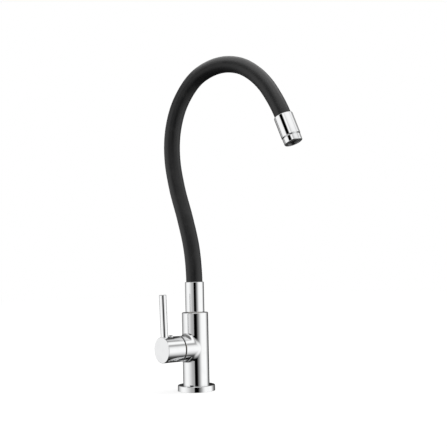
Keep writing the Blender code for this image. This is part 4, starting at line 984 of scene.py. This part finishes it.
# Brightness of the cards round the object, low down: degrees right of the camera, value.
# This and the tables below were set from the tones that the real chrome mirrors
LOW_CARDS = (
    (-180, 0.02), (-150, 0.15), (-134, 0.42), (-118, 0.68), (-107, 0.86), (-98, 0.93),
    (-86, 0.96), (-75, 0.95), (-70, 0.92), (-59, 0.83), (-49, 0.72), (-40, 0.60),
    (-31, 0.47), (-22, 0.42), (-10.5, 0.37), (-9, 0.0), (11, 0.0), (15, 0.01),
    (18.5, 0.08), (22.5, 0.16), (27.5, 0.26), (31.6, 0.33), (37, 0.46), (41, 0.62),
    (50, 0.84), (60, 0.98), (102, 1.0), (108, 0.88), (117, 0.62), (125, 0.43),
    (137, 0.12), (180, 0.02))
# The same higher up, with the share of these and of the grey ceiling by degrees of rise
HIGH_CARDS = (
    (-180, 0.02), (-160, 0.10), (-135, 0.28), (-90, 0.32), (-66, 0.95), (-42, 0.95),
    (-20, 0.92), (0, 0.95), (10, 1.0), (100, 1.0), (106, 0.85), (113, 0.62),
    (121, 0.44), (128, 0.34), (146, 0.33), (154, 0.20), (161, 0.08), (180, 0.02))
HIGH_SHARE = ((14, 0.0), (19, 1.0))
CEILING_SHARE = ((50, 0.0), (61, 1.0))
CEILING = 0.16
# Dark flag left of the camera: how much it hides, by degrees of turn and of rise
FLAG_TURN = ((-59, 0.0), (-54, 1.0), (-26, 1.0), (-19, 0.0))
FLAG_RISE = ((3, 0.0), (6, 1.0), (24, 1.0), (30, 0.4), (45, 0.2))
# Shade on the cards from the camera to the right of it, which rises to the right
SHADE_SLOPE = 0.10
RIGHT_SHADE = ((-3, 1.0), (3, 0.94), (9, 0.86), (15, 0.62), (20, 0.40), (24.5, 0.40),
               (28, 0.68), (30, 0.87), (33, 0.97), (38, 1.0))
SHADE_REACH = ((-5, 0.0), (0, 1.0), (88, 1.0), (95, 0.0))
# Brightness of what lies below: the white table ends, and the dark of the room begins
BELOW = ((-52, 0.05), (-49, 0.07), (-46, 0.12), (-43, 0.24), (-40, 0.38), (-34, 0.61),
         (-27, 0.79), (-20, 0.92), (-14, 1.0))
# How many degrees the tables reach either way, round the object and up or down
ROUND, RISE = 180, 90


def steps_of(tree, value, pairs, reach):
    """Brightness looked up in (degrees, brightness) pairs, from -reach to reach."""
    node = tree.nodes.new("ShaderNodeValToRGB")
    spots = node.color_ramp.elements
    while len(spots) < len(pairs):
        spots.new(0.5)
    for spot, (degrees, brightness) in zip(spots, pairs):
        spot.position = (degrees + reach) / (2 * reach)
        spot.color = (brightness, brightness, brightness, 1.0)
    spread = tree.nodes.new("ShaderNodeMapRange")
    spread.inputs["From Min"].default_value = math.radians(-reach)
    spread.inputs["From Max"].default_value = math.radians(reach)
    tree.links.new(value, spread.inputs["Value"])
    tree.links.new(spread.outputs["Result"], node.inputs["Fac"])
    return node.outputs["Color"]


def mixed(tree, share, first, second, how="MIX"):
    """Colours mixed by a share; a number given for a colour is a grey."""
    node = tree.nodes.new("ShaderNodeMix")
    node.data_type = "RGBA"
    node.blend_type = how
    for socket, given in ((node.inputs[0], share), (node.inputs[6], first),
                          (node.inputs[7], second)):
        if not isinstance(given, float):
            tree.links.new(given, socket)
        elif socket == node.inputs[0]:
            socket.default_value = given
        else:
            socket.default_value = (given, given, given, 1.0)
    return node.outputs[2]


def studio_walls():
    """World of white cards and dark gaps for the metal, and an even light for the rest."""
    world = bpy.data.worlds.new("studio walls")
    bpy.context.scene.world = world
    world.use_nodes = True
    world.cycles.sampling_method = "NONE"
    tree = world.node_tree
    way = tree.nodes.new("ShaderNodeTexCoord").outputs["Generated"]
    turn = tree.nodes.new("ShaderNodeVectorRotate")
    turn.rotation_type = "Z_AXIS"
    turn.inputs["Angle"].default_value = -CAMERA_TURN
    tree.links.new(way, turn.inputs["Vector"])
    parts = tree.nodes.new("ShaderNodeSeparateXYZ")
    tree.links.new(turn.outputs[0], parts.inputs[0])

    def maths(operation, *values):
        node = tree.nodes.new("ShaderNodeMath")
        node.operation = operation
        for socket, value in zip(node.inputs, values):
            if isinstance(value, float):
                socket.default_value = value
            else:
                tree.links.new(value, socket)
        return node.outputs[0]

    nearer = maths("MULTIPLY", parts.outputs["Y"], -1.0)
    around = maths("ARCTAN2", parts.outputs["X"], nearer)
    above = maths("ARCSINE", parts.outputs["Z"])
    low = steps_of(tree, around, LOW_CARDS, ROUND)
    high = steps_of(tree, around, HIGH_CARDS, ROUND)
    cards = mixed(tree, steps_of(tree, above, HIGH_SHARE, RISE), low, high)
    slope = maths("MULTIPLY_ADD", around, -SHADE_SLOPE, above)
    shade = mixed(tree, steps_of(tree, around, SHADE_REACH, ROUND), 1.0,
                  steps_of(tree, slope, RIGHT_SHADE, RISE))
    cards = mixed(tree, 1.0, cards, shade, "MULTIPLY")
    flag = mixed(tree, 1.0, steps_of(tree, around, FLAG_TURN, ROUND),
                 steps_of(tree, above, FLAG_RISE, RISE), "MULTIPLY")
    cards = mixed(tree, flag, cards, 0.0)
    cards = mixed(tree, steps_of(tree, above, CEILING_SHARE, RISE), cards, CEILING)
    cards = mixed(tree, 1.0, cards, steps_of(tree, above, BELOW, RISE), "MULTIPLY")
    light = tree.nodes.new("ShaderNodeLightPath")
    seen = mixed(tree, light.outputs["Is Diffuse Ray"], cards, ROOM_LIGHT)
    seen = mixed(tree, light.outputs["Is Camera Ray"], seen, 1.0)
    tree.links.new(seen, tree.nodes["Background"].inputs["Color"])


def pale_floor():
    """Wide floor that glows a little to the camera, so that it is white but for shadow."""
    mesh = bpy.data.meshes.new("floor")
    half = FLOOR_HALF
    mesh.from_pydata([(-half, -half, 0), (half, -half, 0), (half, half, 0), (-half, half, 0)],
                     [], [(0, 1, 2, 3)])
    floor = bpy.data.objects.new("floor", mesh)
    bpy.context.scene.collection.objects.link(floor)
    floor.visible_glossy = False
    material, tree, shader, _ = bare_material("pale floor")
    shader.inputs["Base Color"].default_value = (*FLOOR_COLOUR, 1.0)
    shader.inputs["Roughness"].default_value = 1.0
    shader.inputs["Specular IOR Level"].default_value = 0.0
    shader.inputs["Emission Color"].default_value = (1.0, 1.0, 1.0, 1.0)
    glow = tree.nodes.new("ShaderNodeMath")
    glow.operation = "MULTIPLY"
    glow.inputs[1].default_value = FLOOR_GLOW
    light = tree.nodes.new("ShaderNodeLightPath")
    tree.links.new(light.outputs["Is Camera Ray"], glow.inputs[0])
    tree.links.new(glow.outputs[0], shader.inputs["Emission Strength"])
    floor.data.materials.append(material)


def soft_lamp():
    """Large square lamp overhead."""
    light = bpy.data.lights.new("overhead lamp", "AREA")
    light.size = LAMP_SIZE
    light.energy = LAMP_WATTS
    lamp = bpy.data.objects.new("overhead lamp", light)
    lamp.location = LAMP_PLACE
    lamp.rotation_euler = (-Vector(LAMP_PLACE)).to_track_quat("-Z", "Y").to_euler()
    lamp.visible_glossy = False
    bpy.context.scene.collection.objects.link(lamp)


def card_for(piece, middle, turn, rise, width, height, watts):
    """Lit card a metre from a piece, by degrees from the camera, that only it mirrors."""
    light = bpy.data.lights.new("card for " + piece.name, "AREA")
    light.shape = "RECTANGLE"
    light.size, light.size_y = width, height
    light.energy = watts
    card = bpy.data.objects.new("card for " + piece.name, light)
    away = Matrix.Rotation(CAMERA_TURN, 3, "Z") @ Vector((
        math.sin(turn) * math.cos(rise), -math.cos(turn) * math.cos(rise), math.sin(rise)))
    card.location = Vector(middle) + away
    card.rotation_euler = (-away).to_track_quat("-Z", "Y").to_euler()
    card.visible_camera = card.visible_diffuse = False
    mirrors = bpy.data.collections.new("mirrors " + card.name)
    mirrors.objects.link(piece)
    card.light_linking.receiver_collection = mirrors
    bpy.context.scene.collection.objects.link(card)


studio_walls()
pale_floor()
soft_lamp()
card_for(pin, (-PIN_PLACE, 0, LEVER_AXIS_Z + PIN_REACH / 2), PIN_CARD_TURN, PIN_CARD_RISE,
         PIN_CARD_WIDTH, PIN_CARD_HEIGHT, PIN_CARD_WATTS)
card_for(hose, (0, 0, ARCH_FOOT + ARCH_RISE), HOSE_CARD_TURN, HOSE_CARD_RISE,
         HOSE_CARD_WIDTH, HOSE_CARD_HEIGHT, HOSE_CARD_WATTS)
bpy.context.scene.view_settings.view_transform = "Standard"

lens = bpy.data.cameras.new("camera")
lens.lens = CAMERA_LENS
lens.sensor_width = 36.0
lens.clip_start = 0.01
camera = bpy.data.objects.new("camera", lens)
camera.matrix_world = (Matrix.Translation(CAMERA_PLACE) @ Matrix.Rotation(CAMERA_TURN, 4, "Z")
                       @ Matrix.Rotation(CAMERA_PITCH, 4, "X")
                       @ Matrix.Rotation(CAMERA_ROLL, 4, "Z"))
bpy.context.scene.collection.objects.link(camera)
bpy.context.scene.camera = camera
